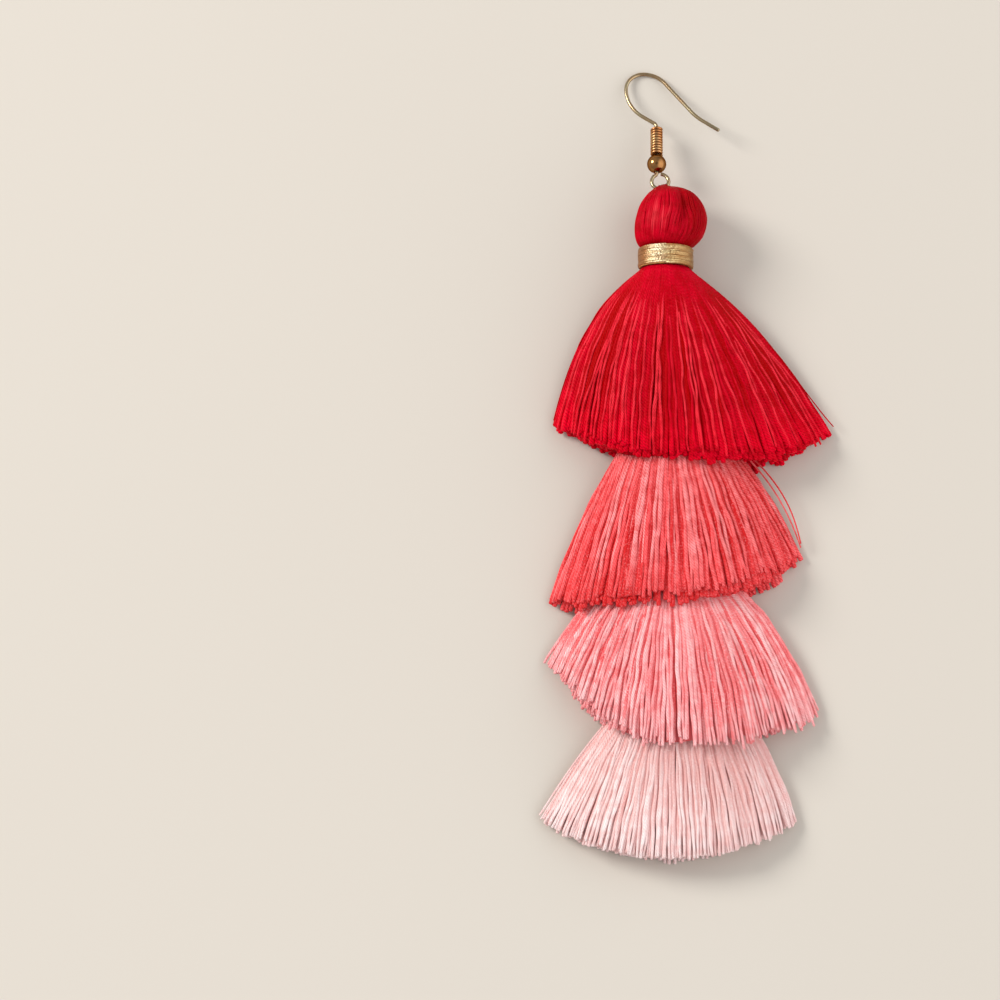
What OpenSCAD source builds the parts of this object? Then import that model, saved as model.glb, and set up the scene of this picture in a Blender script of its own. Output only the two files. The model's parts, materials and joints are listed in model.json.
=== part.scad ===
// Tassel earring: four tiers of thread under a ball-ended ear wire, lying on a table.
// X runs across the drop, Y from the last hem up to the ear wire, Z up from the table.

/* [Ear wire] */
// Diameter of the ear wire
wire_d = 0.6; // [0.5:0.05:0.8]
// Outer diameter of the eye that the threads hang in
eye_d = 3.05; // [2.7:0.05:3.8]
// Radius of the bow where it turns over the top
bow_r = 2.6; // [2.3:0.1:3]
// Radius of the bow's front, from the neck up
front_r = 5.6; // [5:0.1:6.2]
// Radius of the bow where it runs into the back leg
back_r = 4; // [3.6:0.1:4.6]
// Straight length of the back leg
back_leg = 6.2; // [5.6:0.1:7.5]
// Radius of the flick at the end of the back leg
flick_r = 8.6; // [7:0.1:11]
// Straight length of the tip
tip_len = 2.8; // [2.4:0.1:4]

/* [Ball and coil] */
// Diameter of the ball above the eye
ball_d = 2.85; // [2.4:0.05:3.4]
// Diameter of the fine wire of the coil
coil_wire_d = 0.4; // [0.3:0.02:0.44]
// Outer diameter of the coil
coil_d = 1.86; // [1.78:0.02:2.2]
// Number of turns in the coil
coil_turns = 10; // [6:1:12]
// Side step from the ball's middle to the eye's middle
eye_step = 0.5; // [0.3:0.05:0.7]

/* [Head] */
// Width of the thread ball at the top of the drop
head_w = 10.66; // [9.5:0.1:12]
// Height of the thread ball off the table
head_h = 10.3; // [9.5:0.1:11]
// Length of the thread ball down to the binding
head_len = 9.8; // [8.8:0.1:11]
// How far the thread ball's crease cuts in at its deepest
crease_depth = 1.15; // [0.4:0.05:1.6]
// Thickness of the wound metal thread of the binding
binding_t = 0.52; // [0.4:0.02:0.8]
// Length of the binding along the drop
binding_len = 3.25; // [2.6:0.05:4]
// Number of turns of metal thread that show
binding_turns = 13; // [9:1:15]

/* [Tiers] */
// Length of the threads of each tier
thread_len = 30; // [28.5:0.5:32]
// Distance between the necks of neighbouring tiers, before each tier's share
tier_pitch = 20; // [18.5:0.5:21]
// Radius of the bound neck of the first tier
neck_r = 3.5; // [3.2:0.05:3.8]
// Height of the first tier's hem off the table
hem_h = 8.9; // [8.6:0.1:9.6]
// Number of thread locks across the upper side of a tier
locks = 18; // [12:2:18]
// Depth of the grooves between the locks at the hem
lock_depth = 0.5; // [0.2:0.05:0.6]
// Diameter of the hidden cord that carries the lower tiers
cord_d = 1.2; // [0.8:0.1:1.5]

/* [Fit] */
// Gap between neighbouring pieces of metal
metal_gap = 0.1; // [0.06:0.01:0.14]
// Gap between one tier of threads and the next
tier_gap = 0.3; // [0.2:0.05:0.35]

/* [Hidden] */
$fn = 48;

gold = [0.83, 0.62, 0.34];
pale_gold = [0.93, 0.82, 0.52];
red = [0.8, 0.02, 0.14];
coral = [0.98, 0.38, 0.38];
salmon = [0.98, 0.58, 0.58];
blush = [0.97, 0.8, 0.79];
cord_red = [0.6, 0.02, 0.1];

// Each tier, as shares: neck step of tier_pitch from the neck before, thread lengths of thread_len
// at the left, middle and right, neck radius of neck_r, shoulder and hem heights of hem_h. The two
// fan angles are in degrees from straight down, and so are the last two, which bow the sides out.
NECK_STEP = 0;
LEN_LEFT = 1;
LEN_MID = 2;
LEN_RIGHT = 3;
FAN_LEFT = 4;
FAN_RIGHT = 5;
NECK = 6;
SHOULDER = 7;
HEM = 8;
BOW_LEFT = 9;
BOW_RIGHT = 10;
TIERS = [
    [0,     0.93, 0.98, 1.13, 37, 46, 1,    1.05, 1,    31, 17],
    [1.015, 1.09, 0.985, 0.98, 32, 42, 0.74, 0.83, 0.9,  15, 20],
    [1.105, 0.8,  1,    1.085, 50, 43, 0.68, 0.74, 0.8,  25, 27],
    [0.875, 0.97, 0.955, 0.97, 42, 40, 0.62, 0.65, 0.54, 14, 28]
];
last = len(TIERS) - 1;
// Grooves run two points to a lock round the whole section
around = 4 * locks;
steps = 8;
rag = [for (k = [0:last]) rands(-1, 1, around, 7 + k)];
rag_share = 0.022;
// Height of a fan's thin side edges, and how far a lower tier's underside clears the tier below it
side_z = 0.75;
under_lift = 1.4;
// Length of bound thread above each lower neck
stub = 1.6;
cord_slot = cord_d / 2 + tier_gap / 2;
// How far down the thread ball the cord's knot lies
knot_share = 0.62;

// The thread ball, from its peak to the binding: shares of head_len, half of head_w, and of
// the side step from the drop's line to the eye. Its fullest part stands out on the other side.
HEAD = [
    [0,     0.1,  1],
    [0.04,  0.2,  0.7],
    [0.075, 0.32, 0],
    [0.11,  0.47, -0.7],
    [0.19,  0.68, -1.05],
    [0.34,  0.88, -1.1],
    [0.51,  0.98, -1.1],
    [0.64,  1,    -0.95],
    [0.79,  0.96, -0.7],
    [0.9,   0.86, -0.35],
    [0.97,  0.74, -0.1]
];
crease_turn = 26;
crease_turn_spread = 13;

// The thread ball's peak leans towards the eye by this many steps from the ball to the eye
peak_lean = -1.6 * eye_step;

// Lengths down the drop, measured from the eye's middle
head_top = 0.25;
knot_down = head_top + knot_share * head_len;
first_neck = head_top + head_len + binding_len;
function neck_down(k) = first_neck + (k < 1 ? 0 : sum_steps(k) * tier_pitch);
function sum_steps(k) = k < 1 ? 0 : TIERS[k][NECK_STEP] + sum_steps(k - 1);
function mid_len(k) = TIERS[k][LEN_MID] * thread_len;
hem_down = neck_down(last) + mid_len(last);

// The ear wire slopes from the eye in the thread ball down to the table
wire_r = wire_d / 2;
// Each length of wire stops this far short of its joint, inside the joint's bead
joint_in = 0.05;
bead_over = 0.02;
// A bead is turned round the wire, so that its seam lies away from the wire's
bead_turn = 37;
eye_r = (eye_d - wire_d) / 2;
eye_raise = 0.25;
eye_z = head_h / 2 + eye_raise;
ball_up = sqrt(pow(eye_d / 2, 2) - pow(eye_step, 2)) + ball_d / 2 + metal_gap;
ball_top = ball_up + ball_d / 2 - ball_d * 0.02;
coil_from = ball_top + metal_gap;
turn_gap = 0.02;
coil_len = coil_turns * (coil_wire_d + turn_gap) + coil_wire_d;
stem_show = 0.2;
stem_top = coil_from + coil_len + stem_show;
neck_turn = 57;
neck_bend_r = 0.8;
front_run = 1.9;
back_turn = 51;
tip_turn = 34;
bow_top = stem_top + neck_bend_r * sin(neck_turn) + front_run * cos(neck_turn)
    + front_r * sin(neck_turn) + bow_r;
slope = asin((eye_z - wire_r) / bow_top);
hook_up = (bow_top + wire_r * cos(slope)) * cos(slope);
whole_len = hook_up + hem_down;
eye_y = whole_len / 2 - hook_up;

// The drop's line sinks a little towards the last hem, and leans to the right
sink_share = 0.026;
lean_share = 0.016;
first_z = head_h / 2;
function line_z(down) = first_z - sink_share * (down - first_neck);
function line_x(down) = lean_share * (down - first_neck);

// A share from 0 to 1, eased at both ends
function ease(f) = f * f * (3 - 2 * f);
// Where a thread lies across the fan: -1 at the left, 0 in the middle, 1 at the right
function fan_at(turn) = turn < 90 ? turn / 90 : turn < 270 ? (180 - turn) / 90 : (turn - 360) / 90;
function is_upper(turn) = cos(turn) >= -0.001;
function thread(k, f) = thread_len * (TIERS[k][LEN_MID]
    + (TIERS[k][f < 0 ? LEN_LEFT : LEN_RIGHT] - TIERS[k][LEN_MID]) * ease(abs(f)));
function fan_angle(k, f) = f * TIERS[k][f < 0 ? FAN_LEFT : FAN_RIGHT];
function bezier(a, b, c, t) = (1 - t) * (1 - t) * a + 2 * t * (1 - t) * b + t * t * c;

// Heights of the upper and the lower side at the share f of the fan, from middle to edge
function upper(edge, top, f) = edge + (top - edge) * (1 - pow(abs(f), 2.6));
function lower(edge, base, f) = base + (edge - base) * pow(abs(f), 3);
function swell(f) = 1 - pow(abs(f), 8);
// A fan's slanted side edge clears the next piece by this much more than the gap
side_fat_share = 2.2;

// A point of tier k, t along the thread at a turn round the section, and fat outside the threads
function skin(k, t, turn, fat, groove, tip) =
    let (f = fan_at(turn),
         up = is_upper(turn) ? 1 : -1,
         n = neck_down(k),
         r = TIERS[k][NECK] * neck_r + fat,
         reach = thread(k, f) * tip,
         side = fat * sign(f) * (1 - swell(f)) * side_fat_share,
         mid_a = fan_angle(k, f) + f * TIERS[k][f < 0 ? BOW_LEFT : BOW_RIGHT],
         end_a = fan_angle(k, f),
         x = bezier(r * sin(turn), reach / 2 * sin(mid_a) + side, reach * sin(end_a) + side, t),
         down = bezier(0, reach / 2 * cos(mid_a), reach * cos(end_a), t),
         mid_z = up > 0 ? upper(side_z * 2.4, TIERS[k][SHOULDER] * hem_h, f)
                        : lower(side_z * 2.4, k == 0 ? 0 : under_lift, f),
         end_z = up > 0 ? upper(side_z, TIERS[k][HEM] * hem_h, f) : lower(side_z, 0, f),
         cut = lock_depth * groove * ease(min(1, t * 1.6)) * (1 - pow(abs(f), 6)),
         z = bezier(line_z(n) + r * cos(turn), mid_z + up * fat * swell(f),
                    end_z + up * fat * swell(f), t))
    [line_x(n) + x, eye_y - n - down, z - up * cut];

function at_turn(i) = 360 * i / around;
// Every other point of a skirt lies in a groove, and its thread ends are cut a little unevenly
function groove_at(i) = i % 2;
function tip_at(k, i) = 1 + rag_share * rag[k][i] - rag_share * groove_at(i);
function skirt_ring(k, t) =
    [for (i = [0:around - 1]) skin(k, t, at_turn(i), 0, groove_at(i), 1 + (tip_at(k, i) - 1) * t)];
function hollow_ring(k, t) = [for (i = [0:around - 1]) skin(k, t, at_turn(i), tier_gap, 0, 1)];
function round_ring(down, r) =
    [for (i = [0:around - 1])
        [line_x(down) + r * sin(at_turn(i)), eye_y - down, line_z(down) + r * cos(at_turn(i))]];
function mouth_share(k) = (neck_down(k) + mid_len(k) - neck_down(k + 1)) / mid_len(k + 1);

// The thread ball's section: a round whose crease deepens to a dimple half way down
function crease(turn, share) =
    crease_depth * exp(-pow((turn - crease_turn) / crease_turn_spread, 2)) * exp(-pow((share - 0.42) / 0.26, 2));
function head_ring(row) =
    [for (i = [0:around - 1])
        let (turn = at_turn(i), cut = crease(turn, row[0]))
        [row[2] * peak_lean + (row[1] * head_w / 2 - cut) * sin(turn),
         eye_y - head_top - row[0] * head_len,
         first_z + (row[1] * head_h / 2 - cut) * cos(turn)]];
function neck_ring(down) =
    [for (i = [0:around - 1])
        [neck_r * sin(at_turn(i)), eye_y - down, first_z + neck_r * cos(at_turn(i))]];

// The inside of a tier that has one below: a hollow round the next tier, then a slot for the cord
function inside(k, cord_down) = concat(
    [for (s = [1:-0.25:0]) hollow_ring(k + 1, s * mouth_share(k))],
    [round_ring(neck_down(k + 1) - stub - tier_gap, TIERS[k + 1][NECK] * neck_r + tier_gap),
     round_ring(neck_down(k + 1) - stub - tier_gap, cord_slot),
     round_ring(cord_down, cord_slot)]);

// Joins rings of points into a closed solid. A tube's last ring meets its first. A zipped one has
// its last ring closed across from the upper to the lower side, as a flat hem of cut threads.
module loft(rings, tube, zipped) {
    n = around;
    count = len(rings);
    hem = (count - 1) * n;
    function across(i) = (n + n / 2 - i) % n;
    sides = [for (j = [0:count - (tube ? 1 : 2)], i = [0:n - 1])
        let (a = j * n, b = ((j + 1) % count) * n, next = (i + 1) % n)
        each [[a + i, b + next, b + i], [a + i, a + next, b + next]]];
    start = tube ? [] : [[for (i = [n - 1:-1:0]) i]];
    cut = tube ? [] : !zipped ? [[for (i = [0:n - 1]) hem + i]] :
        [for (q = [-n / 4:n / 4 - 1])
            let (i = (q + n) % n, next = (i + 1) % n)
            each concat(next == across(next) ? [] : [[hem + i, hem + next, hem + across(next)]],
                        i == across(i) ? [] : [[hem + i, hem + across(next), hem + across(i)]])];
    polyhedron([for (ring = rings) each ring], concat(sides, start, cut), convexity = 6);
}

function skirt_rings(k) = [for (j = [0:steps]) skirt_ring(k, j / steps)];

// A lower tier: its bound neck, its skirt, and the hollow or the blind slot inside
module skirt(k) {
    top = neck_down(k) - stub;
    neck = [round_ring(top, TIERS[k][NECK] * neck_r)];
    if (k < last)
        loft(concat(neck, skirt_rings(k), inside(k, top)), true, false);
    else
        loft(concat([round_ring(neck_down(k) + stub, cord_slot), round_ring(top, cord_slot)],
                    neck, skirt_rings(k)), false, true);
}

// Everything in the ear wire's own plane, with the eye's middle at its origin
module on_hook() {
    translate([peak_lean, eye_y, eye_z]) rotate([-slope, 0, 0]) children();
}

// A piece of wire along a heading, from joint to joint in the hook's plane
module wire_run(from, heading, length) {
    translate([from[0], from[1], 0]) rotate([0, 0, heading]) translate([joint_in, 0, 0])
        rotate([0, 90, 0]) cylinder(r = wire_r, h = length - 2 * joint_in);
}
// A bend of wire that starts along a heading and turns right by an angle, or left if it is minus
module wire_bend(from, heading, r, turn) {
    side = turn > 0 ? -1 : 1;
    centre = from + r * side * [-sin(heading), cos(heading)];
    start = heading + (turn > 0 ? 90 - turn : -90);
    short = asin(joint_in / r);
    translate([centre[0], centre[1], 0]) rotate([0, 0, start + short])
        rotate_extrude(angle = abs(turn) - 2 * short) translate([r, 0]) circle(r = wire_r);
}
function run_end(from, heading, length) = from + length * [cos(heading), sin(heading)];
function bend_end(from, heading, r, turn) =
    let (side = turn > 0 ? -1 : 1)
    from + r * side * [-sin(heading), cos(heading)] - r * side * [-sin(heading - turn), cos(heading - turn)];

stem_x = -eye_step;
stem_end = [stem_x, stem_top];
neck_end = bend_end(stem_end, 90, neck_bend_r, -neck_turn);
front_end = run_end(neck_end, 90 + neck_turn, front_run);
side_end = bend_end(front_end, 90 + neck_turn, front_r, neck_turn);
over_end = bend_end(side_end, 90, bow_r, 90);
turn_end = bend_end(over_end, 0, back_r, back_turn);
leg_end = run_end(turn_end, -back_turn, back_leg);
flick_end = bend_end(leg_end, -back_turn, flick_r, tip_turn - back_turn);

// The wire's bends and runs meet in a bead a hair wider than the wire
module joint_bead(at, heading) {
    translate([at[0], at[1], 0]) rotate([0, 0, heading]) rotate([0, 90, 0]) rotate([0, 0, bead_turn])
        sphere(r = wire_r + bead_over);
}

module ear_hook() {
    stem_from = sqrt(eye_r * eye_r - stem_x * stem_x);
    color(gold) on_hook() {
        rotate_extrude() translate([eye_r, 0]) circle(r = wire_r);
        wire_run([stem_x, stem_from - joint_in], 90, stem_top - stem_from + joint_in);
        wire_bend(stem_end, 90, neck_bend_r, -neck_turn);
        wire_run(neck_end, 90 + neck_turn, front_run);
        wire_bend(front_end, 90 + neck_turn, front_r, neck_turn);
        wire_bend(side_end, 90, bow_r, 90);
        wire_bend(over_end, 0, back_r, back_turn);
        wire_run(turn_end, -back_turn, back_leg);
        wire_bend(leg_end, -back_turn, flick_r, tip_turn - back_turn);
        wire_run(flick_end, -tip_turn, tip_len + joint_in);
        joint_bead(stem_end, 90);
        joint_bead(neck_end, 90 + neck_turn);
        joint_bead(front_end, 90 + neck_turn);
        joint_bead(side_end, 90);
        joint_bead(over_end, 0);
        joint_bead(turn_end, -back_turn);
        joint_bead(leg_end, -back_turn);
        joint_bead(flick_end, -tip_turn);
    }
}

// Fine wire wound round the stem, meshed along its helix
module hook_coil() {
    sides = 6;
    per_turn = 12;
    r = coil_d / 2 - coil_wire_d / 2;
    count = coil_turns * per_turn + 1;
    function coil_point(j, i) =
        let (turn = 360 * j / per_turn, a = 360 * i / sides, out = r + coil_wire_d / 2 * cos(a))
        [out * cos(turn), out * sin(turn),
         coil_wire_d / 2 * (1 + sin(a)) + (coil_wire_d + turn_gap) * j / per_turn];
    points = [for (j = [0:count - 1], i = [0:sides - 1]) coil_point(j, i)];
    walls = [for (j = [0:count - 2], i = [0:sides - 1])
        let (a = j * sides, b = a + sides, next = (i + 1) % sides)
        each [[a + i, b + next, b + i], [a + i, a + next, b + next]]];
    ends = [[for (i = [sides - 1:-1:0]) i], [for (i = [0:sides - 1]) (count - 1) * sides + i]];
    color(gold) on_hook() translate([stem_x, coil_from, 0]) rotate([-90, 0, 0])
        polyhedron(points, concat(walls, ends), convexity = 10);
}

module hook_ball() {
    bore = wire_r + metal_gap;
    color(gold) on_hook() translate([stem_x, ball_up, 0]) rotate([-90, 0, 0]) difference() {
        sphere(d = ball_d);
        cylinder(r = bore, h = ball_d * 2, center = true);
    }
}

// The first tier: a thread ball that the eye passes through, its neck and its skirt
module tassel_red() {
    color(red) difference() {
        loft(concat([for (row = HEAD) head_ring(row)], [neck_ring(head_top + head_len)],
                    skirt_rings(0), inside(0, knot_down)), false, false);
        on_hook() rotate_extrude() translate([eye_r, 0]) circle(r = wire_r + metal_gap);
    }
}

// Metal thread wound round the neck: one ring whose outside is a row of half-round turns
module gold_binding() {
    inner = neck_r + metal_gap;
    turn_w = binding_len / binding_turns;
    outer = inner + binding_t;
    run = binding_len - 2 * metal_gap;
    color(pale_gold) translate([0, eye_y - first_neck + metal_gap, first_z])
        rotate([-90, 0, 0]) rotate_extrude() union() {
            translate([inner, 0]) square([binding_t - turn_w / 2, run]);
            for (i = [0:binding_turns - 1])
                translate([outer - turn_w / 2, (i + 0.5) * run / binding_turns]) circle(d = turn_w, $fn = 24);
        }
}

module tassel_coral() {
    color(coral) skirt(1);
}

module tassel_salmon() {
    color(salmon) skirt(2);
}

module tassel_blush() {
    color(blush) skirt(3);
}

// The cord inside, from its knot in the thread ball down to the last neck
module core_cord() {
    top = knot_down + tier_gap;
    end = neck_down(last) + stub - tier_gap;
    a = [line_x(top), eye_y - top, line_z(top)];
    b = [line_x(end), eye_y - end, line_z(end)];
    along = b - a;
    color(cord_red) translate(a) rotate([0, 0, atan2(along[1], along[0])])
        rotate([0, 90 - asin(along[2] / norm(along)), 0]) cylinder(d = cord_d, h = norm(along));
}

// The drop's line stands beside the middle of the table that it covers
hem_xs = [for (k = [0:last], p = skirt_ring(k, 1)) p[0]];
module placed() {
    translate([-(min(hem_xs) + max(hem_xs)) / 2, 0, 0]) children();
}

placed() ear_hook();
placed() hook_coil();
placed() hook_ball();
placed() tassel_red();
placed() gold_binding();
placed() tassel_coral();
placed() tassel_salmon();
placed() tassel_blush();
placed() core_cord();
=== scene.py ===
"""A tassel earring lying on a pale table: a ball-ended ear wire over four tiers of thread."""

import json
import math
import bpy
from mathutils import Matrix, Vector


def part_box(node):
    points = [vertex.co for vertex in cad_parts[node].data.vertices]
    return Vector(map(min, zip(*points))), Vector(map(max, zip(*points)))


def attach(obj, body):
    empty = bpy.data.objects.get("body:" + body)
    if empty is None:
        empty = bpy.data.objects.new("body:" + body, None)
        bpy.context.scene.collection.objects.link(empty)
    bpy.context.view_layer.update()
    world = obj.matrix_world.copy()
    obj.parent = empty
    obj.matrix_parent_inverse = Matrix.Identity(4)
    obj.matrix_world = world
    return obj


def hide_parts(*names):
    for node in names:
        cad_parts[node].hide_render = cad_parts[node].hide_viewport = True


bl_info = {
    "name": "Tassel Earring",
    "version": (1, 0, 0),
    "blender": (4, 5, 0),
    "location": "View3D > Sidebar > Earring",
    "description": "Builds a four-tier tassel earring of twisted thread under a ball-ended ear wire",
    "category": "Object",
}

from collections import namedtuple

import bmesh
import bpy
import numpy as np
from bpy.props import FloatProperty, FloatVectorProperty, IntProperty, PointerProperty
from mathutils import Matrix, Vector

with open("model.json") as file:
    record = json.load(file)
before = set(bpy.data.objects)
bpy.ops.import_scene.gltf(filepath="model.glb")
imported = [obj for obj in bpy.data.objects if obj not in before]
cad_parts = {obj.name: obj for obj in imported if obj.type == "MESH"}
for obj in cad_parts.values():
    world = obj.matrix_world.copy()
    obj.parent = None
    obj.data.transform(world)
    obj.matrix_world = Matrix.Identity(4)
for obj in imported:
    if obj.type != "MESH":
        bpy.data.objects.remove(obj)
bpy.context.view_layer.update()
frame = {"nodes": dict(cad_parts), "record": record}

MM = 0.001

# The drop's table. Steps are shares of the tier pitch, lengths are shares of the thread length,
# necks of the neck radius, and shoulders and hems of the hem height. Fans are in degrees from
# straight down, and bows are how much wider the threads start out than they end, at each side.
Tier = namedtuple("Tier", "name step left mid right fan_left fan_right neck shoulder hem bow_left bow_right")
TIERS = [
    Tier("red", 0, 0.93, 0.98, 1.13, 37, 46, 1, 1.05, 1, 31, 17),
    Tier("coral", 1.015, 1.09, 0.985, 0.98, 32, 42, 0.74, 0.83, 0.9, 15, 20),
    Tier("salmon", 1.105, 0.8, 1, 1.085, 50, 43, 0.68, 0.74, 0.8, 25, 27),
    Tier("blush", 0.875, 0.97, 0.955, 0.97, 42, 40, 0.62, 0.65, 0.54, 14, 28),
]
LAST = len(TIERS) - 1

# The thread ball, from its peak down to the binding: shares of its length, of half its width,
# and of the side step from the drop's line to its peak
HeadRow = namedtuple("HeadRow", "share radius lean")
HEAD = [
    HeadRow(0, 0.1, 1),
    HeadRow(0.04, 0.2, 0.7),
    HeadRow(0.075, 0.32, 0),
    HeadRow(0.11, 0.47, -0.7),
    HeadRow(0.19, 0.68, -1.05),
    HeadRow(0.34, 0.88, -1.1),
    HeadRow(0.51, 0.98, -1.1),
    HeadRow(0.64, 1, -0.95),
    HeadRow(0.79, 0.96, -0.7),
    HeadRow(0.9, 0.86, -0.35),
    HeadRow(0.97, 0.74, -0.1),
]

# How the threads of each tier lie. In millimetres: the spacing and the radius of the bright
# threads, the radius of the bed below them, how unevenly deep they lie at the hem, and how far
# they wander. As shares: how far clumps draw together at the hem, how unevenly the threads are
# cut, how far the upper threads and the inner ones at either side reach, how thick a thread still
# is at its tip, and how much painted shade the inner threads take, as a deeper colour for the gaps.
Lay = namedtuple("Lay", "pitch radius bed_r rough wander pull ragged upper inner_left inner_right tip soak")
LAYS = [
    Lay(1.25, 0.185, 0.47, 0.1, 0.15, 0.25, 0.014, 0.965, 0.985, 0.99, 0.95, 0.0),
    Lay(0.88, 0.3, 0.37, 0.5, 0.16, 0.35, 0.014, 0.98, 1.015, 1.03, 1.0, 0.9),
    Lay(0.76, 0.28, 0.36, 0.4, 0.15, 0.4, 0.018, 0.985, 1.0, 0.955, 0.7, 0.1),
    Lay(0.72, 0.28, 0.36, 0.18, 0.13, 0.3, 0.01, 1.005, 1.005, 0.98, 0.7, 0.0),
]

# Patches where a deeper colour shows: their middle and spread across the fan and down the
# threads, as shares, and their strength. Most are deeper dye; the one at the third tier's upper
# left is painted shade under the second tier's hem
Patch = namedtuple("Patch", "tier across width along length strength")
PATCHES = [
    Patch(1, 0.7, 0.35, 0.7, 0.4, 0.45),
    Patch(1, -0.5, 0.5, 1.0, 0.12, 0.9),
    # Painted shade under the second tier's hem
    Patch(2, -0.75, 0.18, 0.35, 0.3, 0.8),
    Patch(2, -0.55, 0.4, 0.55, 0.5, 0.35),
    Patch(2, 0.45, 0.28, 0.65, 0.5, 0.85),
    Patch(3, 0.6, 0.4, 0.5, 0.5, 0.9),
    Patch(3, 0.0, 0.45, 0.42, 0.22, 1.0),
]

# Threads that stand away from a fan's edge: where they start and end across the fan, how far
# they bow out, lift and flick out at the tip in millimetres, their length as a share of their
# neighbours', their radius in millimetres and how bright they are. The dark ones along the red
# tier's edges paint the shade there.
Stray = namedtuple("Stray", "tier start end bow lift flick reach radius tone")
STRAYS = [
    Stray(0, 0.99, 1, 0.12, 0.5, 1.1, 0.975, 0.13, 0.0),
    Stray(0, -0.98, -1, 0.12, 0.2, 0.1, 0.985, 0.12, 0.0),
    Stray(1, 0.97, 1, 1.5, 0.5, 0.0, 0.96, 0.16, 0.7),
    Stray(1, 0.95, 0.99, 2.7, 0.9, 0.0, 0.93, 0.16, 0.2),
    Stray(2, 0.92, 1, 0.25, 0.2, 0.1, 0.98, 0.24, 0.6),
    Stray(3, -0.94, -1, 0.3, 0.2, 0.2, 1.0, 0.22, 0.6),
]


def srgb(red, green, blue):
    """A colour given in the usual 0 to 255 steps, as the linear values that Blender keeps."""

    def linear(value):
        value /= 255
        return value / 12.92 if value <= 0.04045 else ((value + 0.055) / 1.055) ** 2.4

    return (linear(red), linear(green), linear(blue))


def length_prop(name, description, millimetres):
    """A length for the panel, given in millimetres."""
    return FloatProperty(
        name=name, description=description, default=millimetres * MM, unit="LENGTH", precision=5
    )


def angle_prop(name, description, degrees):
    """An angle for the panel, given in degrees."""
    return FloatProperty(name=name, description=description, default=math.radians(degrees), subtype="ANGLE")


def colour_prop(name, description, colour):
    """A colour for the panel."""
    return FloatVectorProperty(
        name=name, description=description, default=colour, subtype="COLOR", min=0, max=1
    )


class EarWireSizes(bpy.types.PropertyGroup):
    """Sizes of the ear wire, its ball and its coil."""

    wire_d: length_prop("Wire diameter", "Diameter of the ear wire", 0.54)
    eye_d: length_prop("Eye diameter", "Outer diameter of the eye that the threads hang in", 3.05)
    eye_step: length_prop("Eye step", "Side step from the ball's middle to the eye's middle", 0.5)
    eye_bend_r: length_prop("Eye bend", "Radius of the small bend from the stem into the eye", 0.45)
    eye_open: angle_prop("Eye opening", "Where the eye's free end stops, from straight right", 86)
    ball_d: length_prop("Ball diameter", "Diameter of the ball above the eye", 2.85)
    coil_wire_d: length_prop("Coil wire", "Diameter of the fine wire of the coil", 0.4)
    coil_d: length_prop("Coil diameter", "Outer diameter of the coil", 1.86)
    coil_turns: IntProperty(name="Coil turns", description="Number of turns in the coil", default=10, min=3)
    metal_gap: length_prop("Metal gap", "Gap between neighbouring pieces of metal", 0.1)
    turn_gap: length_prop("Turn gap", "Gap between neighbouring turns of the coil", 0.037)
    stem_show: length_prop("Stem above the coil", "Length of stem that shows above the coil", 0.2)
    neck_bend_r: length_prop("Neck bend", "Radius of the bend at the top of the stem", 0.8)
    neck_turn: angle_prop("Neck turn", "Angle of the bend at the top of the stem", 57)
    front_run: length_prop("Front run", "Straight length between the neck and the bow", 1.9)
    front_r: length_prop("Front radius", "Radius of the bow's front", 5.6)
    bow_r: length_prop("Bow radius", "Radius of the bow where it turns over the top", 2.6)
    back_r: length_prop("Back radius", "Radius of the bow where it runs into the back leg", 4)
    back_turn: angle_prop("Back turn", "Angle of the bow from its top to the back leg", 51)
    back_leg: length_prop("Back leg", "Straight length of the back leg", 6.2)
    flick_r: length_prop("Flick radius", "Radius of the flick at the end of the back leg", 8.6)
    flick_turn: angle_prop("Flick turn", "Angle of the flick", 17)
    tip_len: length_prop("Tip length", "Straight length of the tip", 2.8)


class ThreadSizes(bpy.types.PropertyGroup):
    """Sizes of the thread ball, the binding and the four fringes."""

    head_w: length_prop("Head width", "Width of the thread ball", 10.66)
    head_h: length_prop("Head height", "Height of the thread ball off the table", 10.3)
    head_len: length_prop("Head length", "Length of the thread ball down to the binding", 9.8)
    head_top: length_prop("Head top", "From the eye's middle down to the thread ball's peak", 0.25)
    crease_depth: length_prop("Crease depth", "Depth of the thread ball's crease", 1.15)
    crease_turn: angle_prop("Crease place", "Where the crease runs, from the top towards the right", 26)
    crease_spread: angle_prop("Crease spread", "How wide the crease is", 13)
    head_thread_d: length_prop("Head thread", "Diameter of the threads of the ball", 0.31)
    head_threads: IntProperty(name="Head threads", description="Threads round the ball", default=216, min=24)
    binding_t: length_prop("Binding thickness", "Thickness of the wound metal thread", 0.52)
    binding_len: length_prop("Binding length", "Length of the binding along the drop", 3.25)
    binding_turns: IntProperty(name="Binding turns", description="Turns of metal thread", default=13, min=4)
    binding_gap: length_prop("Binding gap", "Gap between the binding and the neck", 0.1)
    metal_thread_d: length_prop("Metal thread", "Diameter of the metal thread", 0.3)
    thread_d: length_prop("Thread diameter", "Diameter of the fringe threads", 0.74)
    thread_len: length_prop("Thread length", "Length of the threads of each tier", 30)
    tier_pitch: length_prop("Tier pitch", "Distance between the necks of neighbouring tiers", 20)
    neck_r: length_prop("Neck radius", "Radius of the bound neck of the first tier", 3.5)
    hem_h: length_prop("Hem height", "Height of the first tier's hem off the table", 8.9)
    side_z: length_prop("Side height", "Height of a fan's thin side edges", 0.75)
    under_lift: length_prop("Under lift", "How far a lower tier's underside clears the tier below", 1.4)
    stub: length_prop("Neck stub", "Length of bound thread above each lower neck", 1.6)
    cord_d: length_prop("Cord diameter", "Diameter of the cord that carries the lower tiers", 1.2)
    tier_gap: length_prop("Tier gap", "Gap between one tier of threads and the next", 0.3)


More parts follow.
